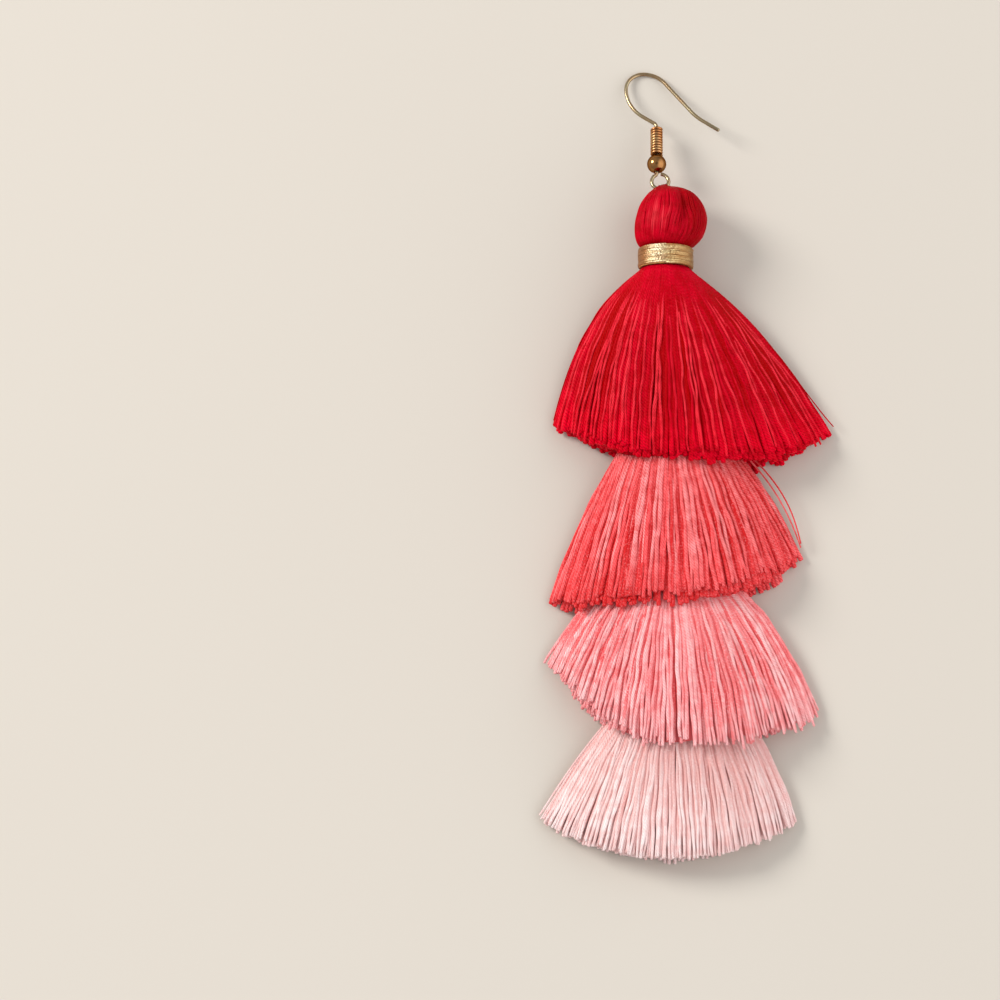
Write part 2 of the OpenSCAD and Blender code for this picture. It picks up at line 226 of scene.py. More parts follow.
class Finish(bpy.types.PropertyGroup):
    """Colours of the metal, the threads and the table."""

    gold: colour_prop("Gold", "Colour of the polished ear wire", srgb(168, 153, 122))
    # Copper is also the painted shade at the binding's left edge.
    copper: colour_prop("Copper", "Colour where the plating is thin", srgb(176, 118, 72))
    pale_gold: colour_prop("Pale gold", "Colour of the metal thread", srgb(240, 220, 165))
    # Tan gold is also the painted shade in the hollows and on the right of the wound metal thread.
    tan_gold: colour_prop("Tan gold", "Colour in the hollows of the metal thread", srgb(190, 140, 85))
    red: colour_prop("Red", "Colour of the first tier", srgb(208, 0, 35))
    coral: colour_prop("Coral", "Colour of the second tier", srgb(255, 94, 98))
    salmon: colour_prop("Salmon", "Colour of the third tier", srgb(255, 150, 153))
    blush: colour_prop("Blush", "Colour of the fourth tier", srgb(246, 208, 205))
    table: colour_prop("Table", "Colour of the table", srgb(207, 200, 190))


# How far the fan's edges move for a change in thickness, the slopes of the drop's line, how far
# the thread ball leans in steps of the eye, and how far down it the cord's knot lies
SIDE_FAT_SHARE = 2.2
SINK_SHARE = 0.026
LEAN_SHARE = 0.016
PEAK_LEAN_STEPS = -1.6
KNOT_SHARE = 0.62

# A fan's cross-section: how much higher its side edges are halfway down than at the hem, and the
# powers that give its arched top, its belly and how late it thins towards its side edges
MID_SIDE_SHARE = 2.4
ARCH_POWER = 2.6
BELLY_POWER = 3
SWELL_POWER = 8

# The crease of the thread ball: how far down it lies and how far it spreads, as shares
CREASE_DOWN = 0.42
CREASE_SPREAD = 0.26

# Where the coil sits on the ball's shoulder: shares of the ball's diameter and of the metal gap
COIL_SEAT_SHARE = 0.45
COIL_GAP_SHARE = 0.2

# Points round a section
AROUND = 72
AROUND_TURNS = np.radians(np.arange(AROUND) / AROUND * 360)


def ease(share):
    """A share from 0 to 1, eased at both ends."""
    return share * share * (3 - 2 * share)


def eased(value, start, run):
    """0 up to the start, 1 from the end of the run, and eased between them."""
    return ease(np.clip((value - start) / run, 0, 1))


def hill(value, middle, spread):
    """1 at the middle, and less and less on both sides of it."""
    return np.exp(-(((value - middle) / spread) ** 2))


def bezier(a, b, c, t):
    """A curve from a to c, drawn towards b on its way."""
    return (1 - t) ** 2 * a + 2 * t * (1 - t) * b + t**2 * c


def spline(rows, places):
    """A smooth curve through rows of numbers. A place counts rows, and may lie between two."""
    rows = np.asarray(rows, float)
    padded = np.vstack([2 * rows[0] - rows[1], rows, 2 * rows[-1] - rows[-2]])
    at = np.clip(np.asarray(places, float), 0, len(rows) - 1)
    row = np.minimum(at.astype(int), len(rows) - 2)
    t = (at - row)[..., None]
    a, b, c, d = (padded[row + i] for i in range(4))
    return 0.5 * (2 * b + (c - a) * t + (2 * a - 5 * b + 4 * c - d) * t**2 + (3 * b - a - 3 * c + d) * t**3)


def circle(x, y, z, r):
    """A round ring of points that faces along the drop."""
    return np.stack([x + r * np.sin(AROUND_TURNS), np.full(AROUND, y), z + r * np.cos(AROUND_TURNS)], axis=-1)


class Drop:
    """Where everything on the earring lies, from the sizes, tied to the frame's ball and binding."""

    def __init__(self):
        self.wire = wire = bpy.context.scene.earring_wire
        self.size = size = bpy.context.scene.earring_threads
        ball_low, ball_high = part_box("hook_ball")
        binding_low, binding_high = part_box("gold_binding")
        seat = next(m for m in frame["record"]["mounts"] if m["name"] == "ear_seat")
        self.across = Vector((1, 0, 0))
        self.up = -Vector(seat["axis"]).normalized()
        self.out = self.across.cross(self.up)
        self.ball_up = (
            math.sqrt((wire.eye_d / 2) ** 2 - wire.eye_step**2) + wire.ball_d / 2 + wire.metal_gap
        )
        self.coil_up = self.ball_up + wire.ball_d * COIL_SEAT_SHARE + wire.metal_gap * COIL_GAP_SHARE
        ball = (ball_low + ball_high) / 2
        self.eye = ball + self.across * wire.eye_step - self.up * self.ball_up
        self.line_x0 = (binding_low.x + binding_high.x) / 2
        self.first_z = (binding_low.z + binding_high.z) / 2
        self.peak_lean = PEAK_LEAN_STEPS * wire.eye_step
        self.first_neck = size.head_top + size.head_len + size.binding_len

    def hook_matrix(self):
        """From the ear wire's own plane, with the eye's middle at its origin, to the frame."""
        turn = Matrix((self.across, self.up, self.out)).transposed().to_4x4()
        return Matrix.Translation(self.eye) @ turn

    def stem_matrix(self, up):
        """From a piece turned about its own Z axis to its place on the stem, up from the eye."""
        lay = Matrix.Translation((-self.wire.eye_step, up, 0)) @ Matrix.Rotation(-math.pi / 2, 4, "X")
        return self.hook_matrix() @ lay

    def neck_down(self, k):
        """How far below the eye tier k's neck is."""
        return self.first_neck + sum(tier.step for tier in TIERS[: k + 1]) * self.size.tier_pitch

    def line_x(self, down):
        """Where the drop's line is from side to side, some way below the eye."""
        return self.line_x0 + LEAN_SHARE * (down - self.first_neck)

    def line_z(self, down):
        """How high the drop's line is over the table, some way below the eye."""
        return self.first_z - SINK_SHARE * (down - self.first_neck)

    def reach(self, k, f):
        """How long tier k's threads are across its fan."""
        tier = TIERS[k]
        edge = np.where(f < 0, tier.left, tier.right)
        return self.size.thread_len * (tier.mid + (edge - tier.mid) * ease(np.abs(f)))

    def mouth_share(self, k):
        """How far down the next tier's threads this tier's hem comes."""
        mid = TIERS[k].mid * self.size.thread_len
        return (self.neck_down(k) + mid - self.neck_down(k + 1)) / (TIERS[k + 1].mid * self.size.thread_len)

    def skin(self, k, t, f, upper, fat=0.0, tip=1.0, side_share=SIDE_FAT_SHARE):
        """Points on tier k's outside: t along the threads, f across the fan from -1 to 1."""
        tier, size = TIERS[k], self.size
        up = np.where(upper, 1.0, -1.0)
        turn = f * math.pi / 2
        neck = self.neck_down(k)
        r = tier.neck * size.neck_r + fat
        reach = self.reach(k, f) * tip
        end_a = f * np.radians(np.where(f < 0, tier.fan_left, tier.fan_right))
        mid_a = end_a + f * np.radians(np.where(f < 0, tier.bow_left, tier.bow_right))
        swell = 1 - np.abs(f) ** SWELL_POWER
        side = fat * np.sign(f) * (1 - swell) * side_share
        x = bezier(r * np.sin(turn), reach / 2 * np.sin(mid_a) + side, reach * np.sin(end_a) + side, t)
        down = bezier(0, reach / 2 * np.cos(mid_a), reach * np.cos(end_a), t)
        low_z = 0 if k == 0 else size.under_lift
        mid_side_z = size.side_z * MID_SIDE_SHARE

        def arch(edge, top):
            """Heights across the fan's upper side."""
            return edge + (top - edge) * (1 - np.abs(f) ** ARCH_POWER)

        def belly(edge, base):
            """Heights across the fan's underside."""
            return base + (edge - base) * np.abs(f) ** BELLY_POWER

        mid_z = np.where(upper, arch(mid_side_z, tier.shoulder * size.hem_h), belly(mid_side_z, low_z))
        end_z = np.where(upper, arch(size.side_z, tier.hem * size.hem_h), belly(size.side_z, 0))
        z = bezier(
            self.line_z(neck) + up * r * np.cos(turn),
            mid_z + up * fat * swell,
            end_z + up * fat * swell,
            t,
        )
        x, down, z = np.broadcast_arrays(self.line_x(neck) + x, self.eye.y - neck - down, z)
        return np.stack([x, down, z], axis=-1)

    def section(self, k, t, fat=0.0, tip=1.0):
        """A closed ring of points round tier k."""
        turn = np.arange(AROUND) / AROUND * 360
        upper = (turn <= 90) | (turn >= 270)
        f = np.where(turn < 90, turn / 90, np.where(turn < 270, (180 - turn) / 90, (turn - 360) / 90))
        return self.skin(k, t, f, upper, fat, tip)

    def round_section(self, down, r):
        """A round ring of points about the drop's line."""
        return circle(self.line_x(down), self.eye.y - down, self.line_z(down), r)

    def head_surface(self, turn, share, fat=0.0):
        """Points on the thread ball: turn round it from the top, share down it."""
        size = self.size
        rows = HEAD + [HeadRow(1, size.neck_r / (size.head_w / 2), 0)]
        place = np.interp(share, [row.share for row in rows], np.arange(len(rows)))
        share, radius, lean = np.moveaxis(spline(rows, place), -1, 0)
        crease = self.crease(turn, share)
        x = self.line_x0 + lean * self.peak_lean + (radius * size.head_w / 2 - crease + fat) * np.sin(turn)
        y = self.eye.y - size.head_top - share * size.head_len
        z = self.first_z + (radius * size.head_h / 2 - crease + fat) * np.cos(turn)
        return np.stack(np.broadcast_arrays(x, y, z), axis=-1)

    def crease(self, turn, share):
        """How deep the thread ball's crease is at a place."""
        size = self.size
        across = hill(turn, size.crease_turn, size.crease_spread)
        return size.crease_depth * across * hill(share, CREASE_DOWN, CREASE_SPREAD)


# Threads

Threads = namedtuple("Threads", "paths radii marks")

# What each point of a thread carries to its material: how bright the thread is, which differs at
# random, while its deep end paints the shade in the gaps and its bright end the highlights of the top
# threads; how far down it the point lies; and how far its colour is pulled towards a deeper one, by
# patches of deeper dye and by painted shade
MARKS = ("tone", "along", "stain")


def unit(vectors):
    """The directions of vectors, each with a length of 1."""
    return vectors / np.linalg.norm(vectors, axis=-1, keepdims=True)


# The rounded cut end of a thread, as shares of its radius: how far it stands out, and its width
END_OUT = 0.4
END_WIDTH = 0.66

# How far the twist of a thread is shifted along it by its brightness mark, so that neighbours differ
TWIST_SHIFT = 0.01

# A direction that no thread runs along, from which the points round a thread are counted
SIDEWAYS = (0.31, 0.17, 0.93)


def tube_arrays(threads, sides):
    """Round tubes along many paths at once. Each thread gets a rounded cut end."""
    paths, radii = threads.paths, threads.radii
    heading = unit(paths[:, -1] - paths[:, -2])
    tip_r = radii[:, -1:]
    paths = np.concatenate([paths, (paths[:, -1] + heading * tip_r * END_OUT)[:, None]], axis=1)
    radii = np.concatenate([radii, tip_r * END_WIDTH], axis=1)
    count, steps = radii.shape
    tangent = unit(np.gradient(paths, axis=1))
    normal = np.empty_like(paths)
    normal[:, 0] = unit(np.cross(tangent[:, 0], SIDEWAYS))
    for j in range(1, steps):
        slid = normal[:, j - 1] - (normal[:, j - 1] * tangent[:, j]).sum(-1, keepdims=True) * tangent[:, j]
        normal[:, j] = unit(slid)
    other = np.cross(tangent, normal)
    turn = np.arange(sides) / sides * 2 * math.pi
    ring = (
        np.cos(turn)[None, None, :, None] * normal[:, :, None]
        + np.sin(turn)[None, None, :, None] * other[:, :, None]
    )
    points = paths[:, :, None] + radii[:, :, None, None] * ring
    index = np.arange(count * steps * sides).reshape(count, steps, sides)
    after = np.roll(index, -1, axis=2)
    quads = np.stack([index[:, :-1], after[:, :-1], after[:, 1:], index[:, 1:]], axis=-1)
    caps = np.concatenate([index[:, 0, ::-1], index[:, -1]])
    lengths = np.zeros((count, steps))
    lengths[:, 1:] = np.cumsum(np.linalg.norm(np.diff(paths, axis=1), axis=2), axis=1)
    lengths += threads.marks["tone"].mean(axis=1, keepdims=True) * TWIST_SHIFT
    u = np.stack([np.arange(sides), np.arange(sides) + 1], axis=-1) / sides
    quad_uv = np.empty(quads.shape + (2,))
    quad_uv[..., 0] = u[None, None][..., [0, 1, 1, 0]]
    quad_uv[..., 0, 1] = quad_uv[..., 1, 1] = lengths[:, :-1, None]
    quad_uv[..., 2, 1] = quad_uv[..., 3, 1] = lengths[:, 1:, None]
    cap_uv = np.zeros(caps.shape + (2,))
    cap_uv[..., 1] = np.concatenate([lengths[:, 0], lengths[:, -1]])[:, None]
    arrays = {
        "points": points.reshape(-1, 3),
        "quads": quads.reshape(-1, 4),
        "caps": caps,
        "quad_uv": quad_uv.reshape(-1, 2),
        "cap_uv": cap_uv.reshape(-1, 2),
    }
    for name in MARKS:
        mark = np.broadcast_to(threads.marks.get(name, 0.0), (count, steps - 1))
        mark = np.concatenate([mark, mark[:, -1:]], axis=1)
        arrays[name] = np.broadcast_to(mark[:, :, None], index.shape).ravel()
    return arrays


def joined(layers, sides):
    """One set of mesh arrays from layers of round threads."""
    parts = [tube_arrays(layer, sides) for layer in layers]
    start = 0
    for part in parts:
        part["quads"] += start
        part["caps"] += start
        start += len(part["points"])
    whole = {name: np.concatenate([part[name] for part in parts]) for name in parts[0]}
    whole["uv"] = np.concatenate([whole["quad_uv"], whole["cap_uv"]])
    return whole


# Sides of the round threads
FRINGE_SIDES = 8
HEAD_SIDES = 7
METAL_SIDES = 9


def thread_piece(name, layers, sides, material):
    """A piece made of many threads, with a UV map along each and its marks as attributes."""
    arrays = joined(layers, sides)
    mesh = bpy.data.meshes.new(name)
    mesh.from_pydata(arrays["points"].tolist(), [], arrays["quads"].tolist() + arrays["caps"].tolist())
    uv = mesh.uv_layers.new(name="thread")
    uv.data.foreach_set("uv", arrays["uv"].astype(np.float32).ravel())
    for mark in MARKS:
        layer = mesh.attributes.new(mark, "FLOAT", "POINT")
        layer.data.foreach_set("value", arrays[mark].astype(np.float32))
    mesh.shade_smooth()
    piece = bpy.data.objects.new(name, mesh)
    bpy.context.scene.collection.objects.link(piece)
    mesh.materials.append(material)
    return piece


# Places across a fan at which its hem is measured
HEM_SAMPLES = 801


def hem_walk(drop, k, upper):
    """Places across the fan, and how far along tier k's hem each lies."""
    f = np.linspace(-1, 1, HEM_SAMPLES)
    hem = drop.skin(k, 1.0, f, upper)
    steps = np.linalg.norm(np.diff(hem, axis=0), axis=1)
    return f, np.concatenate([[0], np.cumsum(steps)])


def hem_length(drop, k, upper):
    """How long tier k's hem is across its fan."""
    return hem_walk(drop, k, upper)[1][-1]


def even_places(drop, k, upper, count):
    """Places across the fan that lie evenly along tier k's hem."""
    f, walked = hem_walk(drop, k, upper)
    return np.interp((np.arange(count) + 0.5) / count * walked[-1], walked, f)


# The sway of a thread: the length of each wave and its share of the sway
WAVES = ((9.5 * MM, 0.7), (5 * MM, 0.35))


def wander(rng, count, length):
    """A soft random sway along each thread, at most about 1."""
    sway = 0
    for wave, share in WAVES:
        phase = rng.uniform(0, 2 * math.pi, (count, 1))
        stretch = rng.uniform(0.85, 1.15, (count, 1))
        sway = sway + share * np.sin(2 * math.pi * length * stretch / wave + phase)
    return sway


# Threads over which a soft random change goes from one value to the next
BROAD_THREADS = 3


def broad(rng, count):
    """A soft random change from thread to thread, over a few threads at a time."""
    knots = rng.normal(0, 1, count // BROAD_THREADS + 2)
    return np.interp(np.arange(count) / BROAD_THREADS, np.arange(len(knots)), knots)


def clumps(rng, f, size):
    """The middle of the small clump of threads that each thread draws towards."""
    group = np.floor((np.arange(len(f)) + rng.uniform(-0.5, 0.5, len(f))) / size)
    return np.array([f[group == g].mean() for g in group])


def dye_and_shade_patches(k, f, t):
    """How far a place on tier k is pulled towards a deeper colour: patches of deeper dye, and painted shade.
    """
    stain = 0.0 * f * t
    for patch in PATCHES:
        if patch.tier == k:
            across = hill(f, patch.across, patch.width)
            stain = stain + patch.strength * across * hill(t, patch.along, patch.length)
    return stain


# Two places across the fan between which the inner threads' painted shade fades, and its shares there
GAP_SHADE_FADE = ((0, 0.6), (1, 0.3))


def gap_shaded(soak, f):
    """How much painted shade an inner thread takes, as a deeper colour: most at the left and middle of a fan.
    """
    return soak * np.interp(f, *GAP_SHADE_FADE)


# The spacing of the threads in the bed, in millimetres
BED_PITCH = 0.7

# How a fringe thread runs: its points, how far the side edges move with its depth, how soon it
# loosens from the neck, how its drift fades and its clump draws in along it, how much of its sway
# goes up and down, how thin it starts and where it is full, where its tip starts and how long that
# is, and how many threads are in a clump
THREAD_STEPS = 26
THREAD_SIDE_SHARE = 1.0
LOOSENING = 2.5
DRIFT_POWER = 1.5
CLUMP_POWER = 3
SWAY_LIFT = 0.3
NECK_THIN = 0.55
FULL_FROM = 0.35
TIP_FROM = 0.84
TIP_RUN = 0.16
CLUMP_SIZE = 2.7

# How bright all threads are at the neck, where the painted highlights and painted shade fade, how much
# of its own brightness a thread shows there, how unevenly far down its own brightness starts to show
# more, over what run, and how faint its pull towards deeper dye and painted shade may be
NECK_TONE = 0.3
NECK_SHARE = 0.35
NECK_UNEVEN = 0.12
NECK_RUN = 0.17
STAIN_LEAST = 0.35


def fan_layer(
    drop, k, rng, f_end, r, tone, reach,
    upper=True, neck_sunk=0.0, hem_sunk=0.0, rise=2.0, start=0.0, drift=0.0, sway=0.0, pull=0.0, tip=1.0,
    soak=0.0,
):
    """Threads that follow tier k's skin, each from its depth at the neck to another at the hem."""
    count = len(f_end)

    def column(value):
        """One value for all threads, or one for each, as a column."""
        return np.broadcast_to(value, count)[:, None]

    u = np.linspace(0, 1, THREAD_STEPS)[None]
    t = column(start) + (1 - column(start)) * u
    length = t * drop.size.thread_len
    neck_span = math.pi / 2 * TIERS[k].neck * drop.size.neck_r
    span = neck_span + (hem_length(drop, k, upper) / 2 - neck_span) * t
    loose = ease(np.minimum(1, LOOSENING * u))
    f = column(f_end) + drift * 2 / count * rng.normal(0, 1, (count, 1)) * (1 - u) ** DRIFT_POWER
    f = f + sway * MM / span * loose * wander(rng, count, length)
    f = f + (column(clumps(rng, f_end, CLUMP_SIZE)) - column(f_end)) * pull * u**CLUMP_POWER
    f = np.clip(f, -1, 1)
    sunk = column(hem_sunk) + (column(neck_sunk) - column(hem_sunk)) * (1 - u) ** rise
    sunk = sunk + sway * SWAY_LIFT * MM * loose * wander(rng, count, length)
    paths = drop.skin(k, t, f, upper, -(column(r) + sunk), 1 + (column(reach) - 1) * t, THREAD_SIDE_SHARE)
    radii = column(r) * (NECK_THIN + (1 - NECK_THIN) * eased(t, 0, FULL_FROM))
    radii = radii * (1 + (tip - 1) * eased(u, TIP_FROM, TIP_RUN))
    paths[..., 2] = np.maximum(paths[..., 2], radii)
    # Patches of deeper dye, and painted shade on the inner threads, each a little fainter at random
    stain = np.minimum(1, dye_and_shade_patches(k, f, t) + gap_shaded(soak, f)) * rng.uniform(STAIN_LEAST, 1, (count, 1))
    # Near the neck every thread keeps close to one middle brightness, so the painted highlights start lower
    loosened = eased(t, rng.uniform(0, NECK_UNEVEN, (count, 1)), NECK_RUN)
    tone = NECK_TONE + (column(tone) - NECK_TONE) * (NECK_SHARE + (1 - NECK_SHARE) * loosened)
    return Threads(paths, radii, {"tone": tone, "along": t, "stain": stain})


# The test for what lies in the next tier: samples across and along it, how near one has to be on
# the table, and how much of a thread's thickness is added to the gap between two tiers
COVER_ACROSS = 61
COVER_ALONG = 41
COVER_NEAR = 0.8 * MM
COVER_SHARE = 0.3


def covered(drop, k, points):
    """Which points lie inside tier k, with the gap between two tiers round it."""
    f, t = np.meshgrid(np.linspace(-1, 1, COVER_ACROSS), np.linspace(0, 1, COVER_ALONG))
    high = drop.skin(k, t, f, True).reshape(-1, 3)
    low = drop.skin(k, t, f, False).reshape(-1, 3)
    flat = points.reshape(-1, 3)
    gap = drop.size.tier_gap + drop.size.thread_d * COVER_SHARE
    top = nearest(flat, high)
    bottom = nearest(flat, low)
    over = (top[0] < COVER_NEAR) & (flat[:, 2] < top[1] + gap) & (flat[:, 2] > bottom[1] - gap)
    return over.reshape(points.shape[:-1])


def nearest(points, samples):
    """Distance on the table and height of the nearest sample, for each point."""
    far = np.linalg.norm(points[:, None, :2] - samples[None, :, :2], axis=2)
    place = far.argmin(axis=1)
    return far[np.arange(len(points)), place], samples[place, 2]


# The short threads of the hem's cut face: where they start, their points, the most layers, the
# outermost place across the fan, their spacing in thickness, the least height that still takes
# one, how unevenly deep they lie in millimetres, and how far they stay behind the inner threads
FILL_START = 0.6
FILL_STEPS = 6
FILL_LAYERS = 13
FILL_EDGE = 0.985
FILL_PITCH = 0.86
FILL_ROOM = 0.7
FILL_UNEVEN = 0.05
FILL_BEHIND = 0.015


def fill_layers(drop, k, rng):
    """Short threads that fill the hem's cut face between the outer threads."""
    lay = LAYS[k]
    d = drop.size.thread_d
    along = np.linspace(FILL_START, 1, FILL_STEPS)[None]
    lanes = int(hem_length(drop, k, True) / d)
    paths, places = [], []
    for layer in range(1, FILL_LAYERS + 1):
        f = even_places(drop, k, True, lanes)
        f = f + rng.normal(0, 0.25 / lanes, lanes) + (layer % 2) / lanes
        f = np.clip(f, -FILL_EDGE, FILL_EDGE)
        depth = layer * d * FILL_PITCH + rng.normal(0, FILL_UNEVEN * MM, lanes)
        high, low = drop.skin(k, 1.0, f, True), drop.skin(k, 1.0, f, False)
        height = high[:, 2] - low[:, 2]
        keep = height - depth > d * FILL_ROOM
        if not keep.any():
            break
        f, depth, height = f[keep], depth[keep], height[keep]
        share = (1 - (depth + d / 2) / height)[:, None]
        reach = (inner_reach(lay, f) - FILL_BEHIND) * (1 + rng.normal(0, lay.ragged * 0.5, len(f)))
        tip = 1 + (reach[:, None] - 1) * along
        upper = drop.skin(k, along, f[:, None], True, 0.0, tip)
        lower = drop.skin(k, along, f[:, None], False, 0.0, tip)
        path = lower + (upper - lower) * share[..., None]
        if k < LAST:
            clear = ~covered(drop, k + 1, path[:, 2:]).any(axis=1)
            path, f = path[clear], f[clear]
        paths.append(path)
        places.append(f)
    paths = np.concatenate(paths)
    f = np.concatenate(places)[:, None]
    paths[..., 2] = np.maximum(paths[..., 2], d / 2)
    radii = np.full(paths.shape[:2], d / 2) * rng.uniform(0.88, 1.05, len(paths))[:, None]
    radii[:, -1] *= lay.tip
    tone = rng.uniform(0.2, 0.6, (len(paths), 1)) + 0 * along
    along = along + 0 * tone
    stain = np.minimum(1, dye_and_shade_patches(k, f, along) + gap_shaded(lay.soak, f))
    return Threads(paths, radii, {"tone": tone, "along": along, "stain": stain})


# How late the threads' reach goes over to that of a fan's side edges, the reach of the left edge,
# and two places across the fan between which the inner reach goes from its left to its right value
EDGE_POWER = 3
LEFT_EDGE_REACH = 1.02
INNER_ACROSS = (-0.5, 0.4)


def inner_reach(lay, f):
    """How far the inner threads reach, from one side of the fan to the other."""
    return to_edge(np.interp(f, INNER_ACROSS, (lay.inner_left, lay.inner_right)), f)


def to_edge(reach, f):
    """A fan's thin side edges reach its full length, and the left one a little more."""
    return reach + (np.where(f < 0, LEFT_EDGE_REACH, 1) - reach) * np.abs(f) ** EDGE_POWER


# The seed of the first tier's random draws: each further tier takes the next number
FRINGE_SEED = 31

# How bright the bed is in the red tier and in the others, low enough to paint the shade between
# the bright threads, and how many loose threads lie over each
BED_TONE_RED = 0.22
BED_TONE = 0.14
OVER_THREADS = 8


def fringe_layers(drop, k):
    """All the threads of tier k: a quiet bed as painted shade, bright threads over it as painted highlights,
    the underside and the hem's fill.
    """
    rng = np.random.default_rng(FRINGE_SEED + k)
    lay = LAYS[k]
    hem = hem_length(drop, k, True)
    quiet = BED_TONE_RED if k == 0 else BED_TONE

    def cut(count, reach):
        """Threads cut to about the same reach, some shorter and some longer."""
        return reach * (1 + lay.ragged * (rng.normal(0, 0.6, count) + 0.8 * broad(rng, count)))

    count = round(hem / (BED_PITCH * MM))
    places = even_places(drop, k, True, count)
    bed = fan_layer(
        drop, k, rng, places,
        r=lay.bed_r * MM * rng.uniform(0.92, 1.06, count),
        tone=np.clip(quiet + 0.12 * broad(rng, count) + rng.uniform(-0.08, 0.08, count), 0, 1),
        reach=cut(count, to_edge(lay.upper - 0.01, places)),
        neck_sunk=-0.3 * MM if k == 0 else 0.12 * MM,
        hem_sunk=rng.uniform(0.12, 0.12 + lay.rough, count) * MM,
        rise=8 if k == 0 else 2,
        start=0.0 if k == 0 else rng.uniform(0, 0.03, count),
        drift=0.25, sway=lay.wander * 0.6, pull=lay.pull, tip=lay.tip,
    )
    count = round(hem / (lay.pitch * MM))
    places = even_places(drop, k, True, count) + rng.normal(0, 0.4 / count, count)
    bright = fan_layer(
        drop, k, rng, places,
        r=lay.radius * MM * rng.uniform(0.8, 1.12, count),
        tone=rng.uniform(0.5, 1, count),
        reach=cut(count, to_edge(lay.upper, places)),
        neck_sunk=rng.uniform(0.1, 0.8, count) * MM,
        hem_sunk=rng.uniform(-0.05, lay.rough * 0.5, count) * MM,
        rise=7,
        start=rng.uniform(0.01, 0.05, count),
        drift=1.2, sway=lay.wander, pull=lay.pull, tip=lay.tip,
    )
    count = round(hem / (BED_PITCH * MM))
    inner_places = even_places(drop, k, True, count)
    # Inner threads lie low and deep in colour: painted shade in the gaps
    inner = fan_layer(
        drop, k, rng, inner_places,
        r=lay.bed_r * MM * rng.uniform(0.88, 1.05, count),
        tone=rng.uniform(0.0, 0.5, count),
        reach=cut(count, inner_reach(lay, inner_places)),
        neck_sunk=rng.uniform(0.8, 1.2, count) * MM,
        hem_sunk=rng.uniform(0.6, 0.85, count) * MM,
        start=0.05, drift=0.5, sway=lay.wander * 0.6, pull=lay.pull, tip=lay.tip, soak=lay.soak,
    )
    count = round(hem_length(drop, k, False) / (BED_PITCH * MM))
    under = fan_layer(
        drop, k, rng, even_places(drop, k, False, count),
        r=lay.bed_r * MM * rng.uniform(0.9, 1.08, count),
        tone=rng.uniform(0.2, 0.8, count),
        reach=cut(count, lay.inner_right),
        upper=False, drift=0.5, sway=lay.wander * 0.5, pull=lay.pull * 0.6, tip=lay.tip,
    )
    count = OVER_THREADS
    over = fan_layer(
        drop, k, rng, np.sort(rng.uniform(-0.75, 0.85, count)),
        r=lay.radius * MM * rng.uniform(0.9, 1.1, count),
        tone=rng.uniform(0.75, 1, count),
        reach=cut(count, lay.upper * 0.99),
        neck_sunk=0.3 * MM,
        hem_sunk=-rng.uniform(0.1, 0.2, count) * MM,
        rise=5, start=rng.uniform(0.06, 0.16, count), drift=0.25, sway=lay.wander, tip=lay.tip,
    )
    layers = [bed, bright, inner, under, over, fill_layers(drop, k, rng)]
    strays = [stray for stray in STRAYS if stray.tier == k]
    if strays:
        layers.append(stray_threads(drop, strays))
    return layers


# A stray thread starts just below the neck, bows out most two thirds down, flicks out late and
# gets thinner towards its tip
STRAY_START = 0.05
STRAY_BOW = 0.75 * math.pi
STRAY_BOW_POWER = 1.5
STRAY_FLICK_POWER = 8
STRAY_THIN = 0.35


def stray_threads(drop, strays):
    """Threads that have come away from a fan's edge, and bow or flick out beside it."""
    u = np.linspace(0, 1, THREAD_STEPS)
    paths, radii = [], []
    for stray in strays:
        f = stray.start + (stray.end - stray.start) * u
        tip = 1 + (stray.reach - 1) * u
        t = STRAY_START + (1 - STRAY_START) * u
        path = drop.skin(stray.tier, t, f, True, -stray.radius * MM, tip, THREAD_SIDE_SHARE)
        out = math.copysign(1, stray.end) * MM
        bow = stray.bow * np.sin(STRAY_BOW * u) ** STRAY_BOW_POWER
        path[:, 0] += out * (bow + stray.flick * u**STRAY_FLICK_POWER)
        path[:, 2] += stray.lift * MM * u
        paths.append(path)
        radii.append(stray.radius * MM * (1 - STRAY_THIN * u))
    paths = np.stack(paths)
    radii = np.stack(radii)
    paths[..., 2] = np.maximum(paths[..., 2], radii)
    tone = np.array([[stray.tone] for stray in strays]) + 0 * radii
    return Threads(paths, radii, {"tone": tone, "along": u + 0 * radii})


# The threads of the ball: the seed of their random draws, where their first row lies down the
# ball, rows of points down it, the two more that lead through the eye, and points along the
# finished thread
HEAD_SEED = 5
HEAD_START = 0.09
HEAD_ROWS = 30
HEAD_LEAD = 2
HEAD_STEPS = 44

# How the ball's threads draw towards its crease: how far, how wide in spreads of the crease, and
# where and how far down the ball, as shares
GATHER = 0.42
GATHER_WIDE = 2.2
GATHER_DOWN = 0.4
GATHER_SPREAD = 0.2

# Where the threads go through the eye and over its lower edge, in millimetres: how far to the
# right, how far they spread from there, how far they part to the front and the back, how far the
# first lie inside the wire, and how unevenly and how much higher they lie to one side. The last
# is how far down the eye's edge is, as a share of its radius
THROUGH_RIGHT = 0.35
THROUGH_SPREAD = 0.6
THROUGH_PART = 0.12
THROUGH_INSIDE = 0.25
THROUGH_UNEVEN = 0.1
THROUGH_RISE = 0.15
OVER_RIGHT = 0.55
OVER_SPREAD = 0.8
OVER_PART = 0.35
OVER_DOWN = 0.98


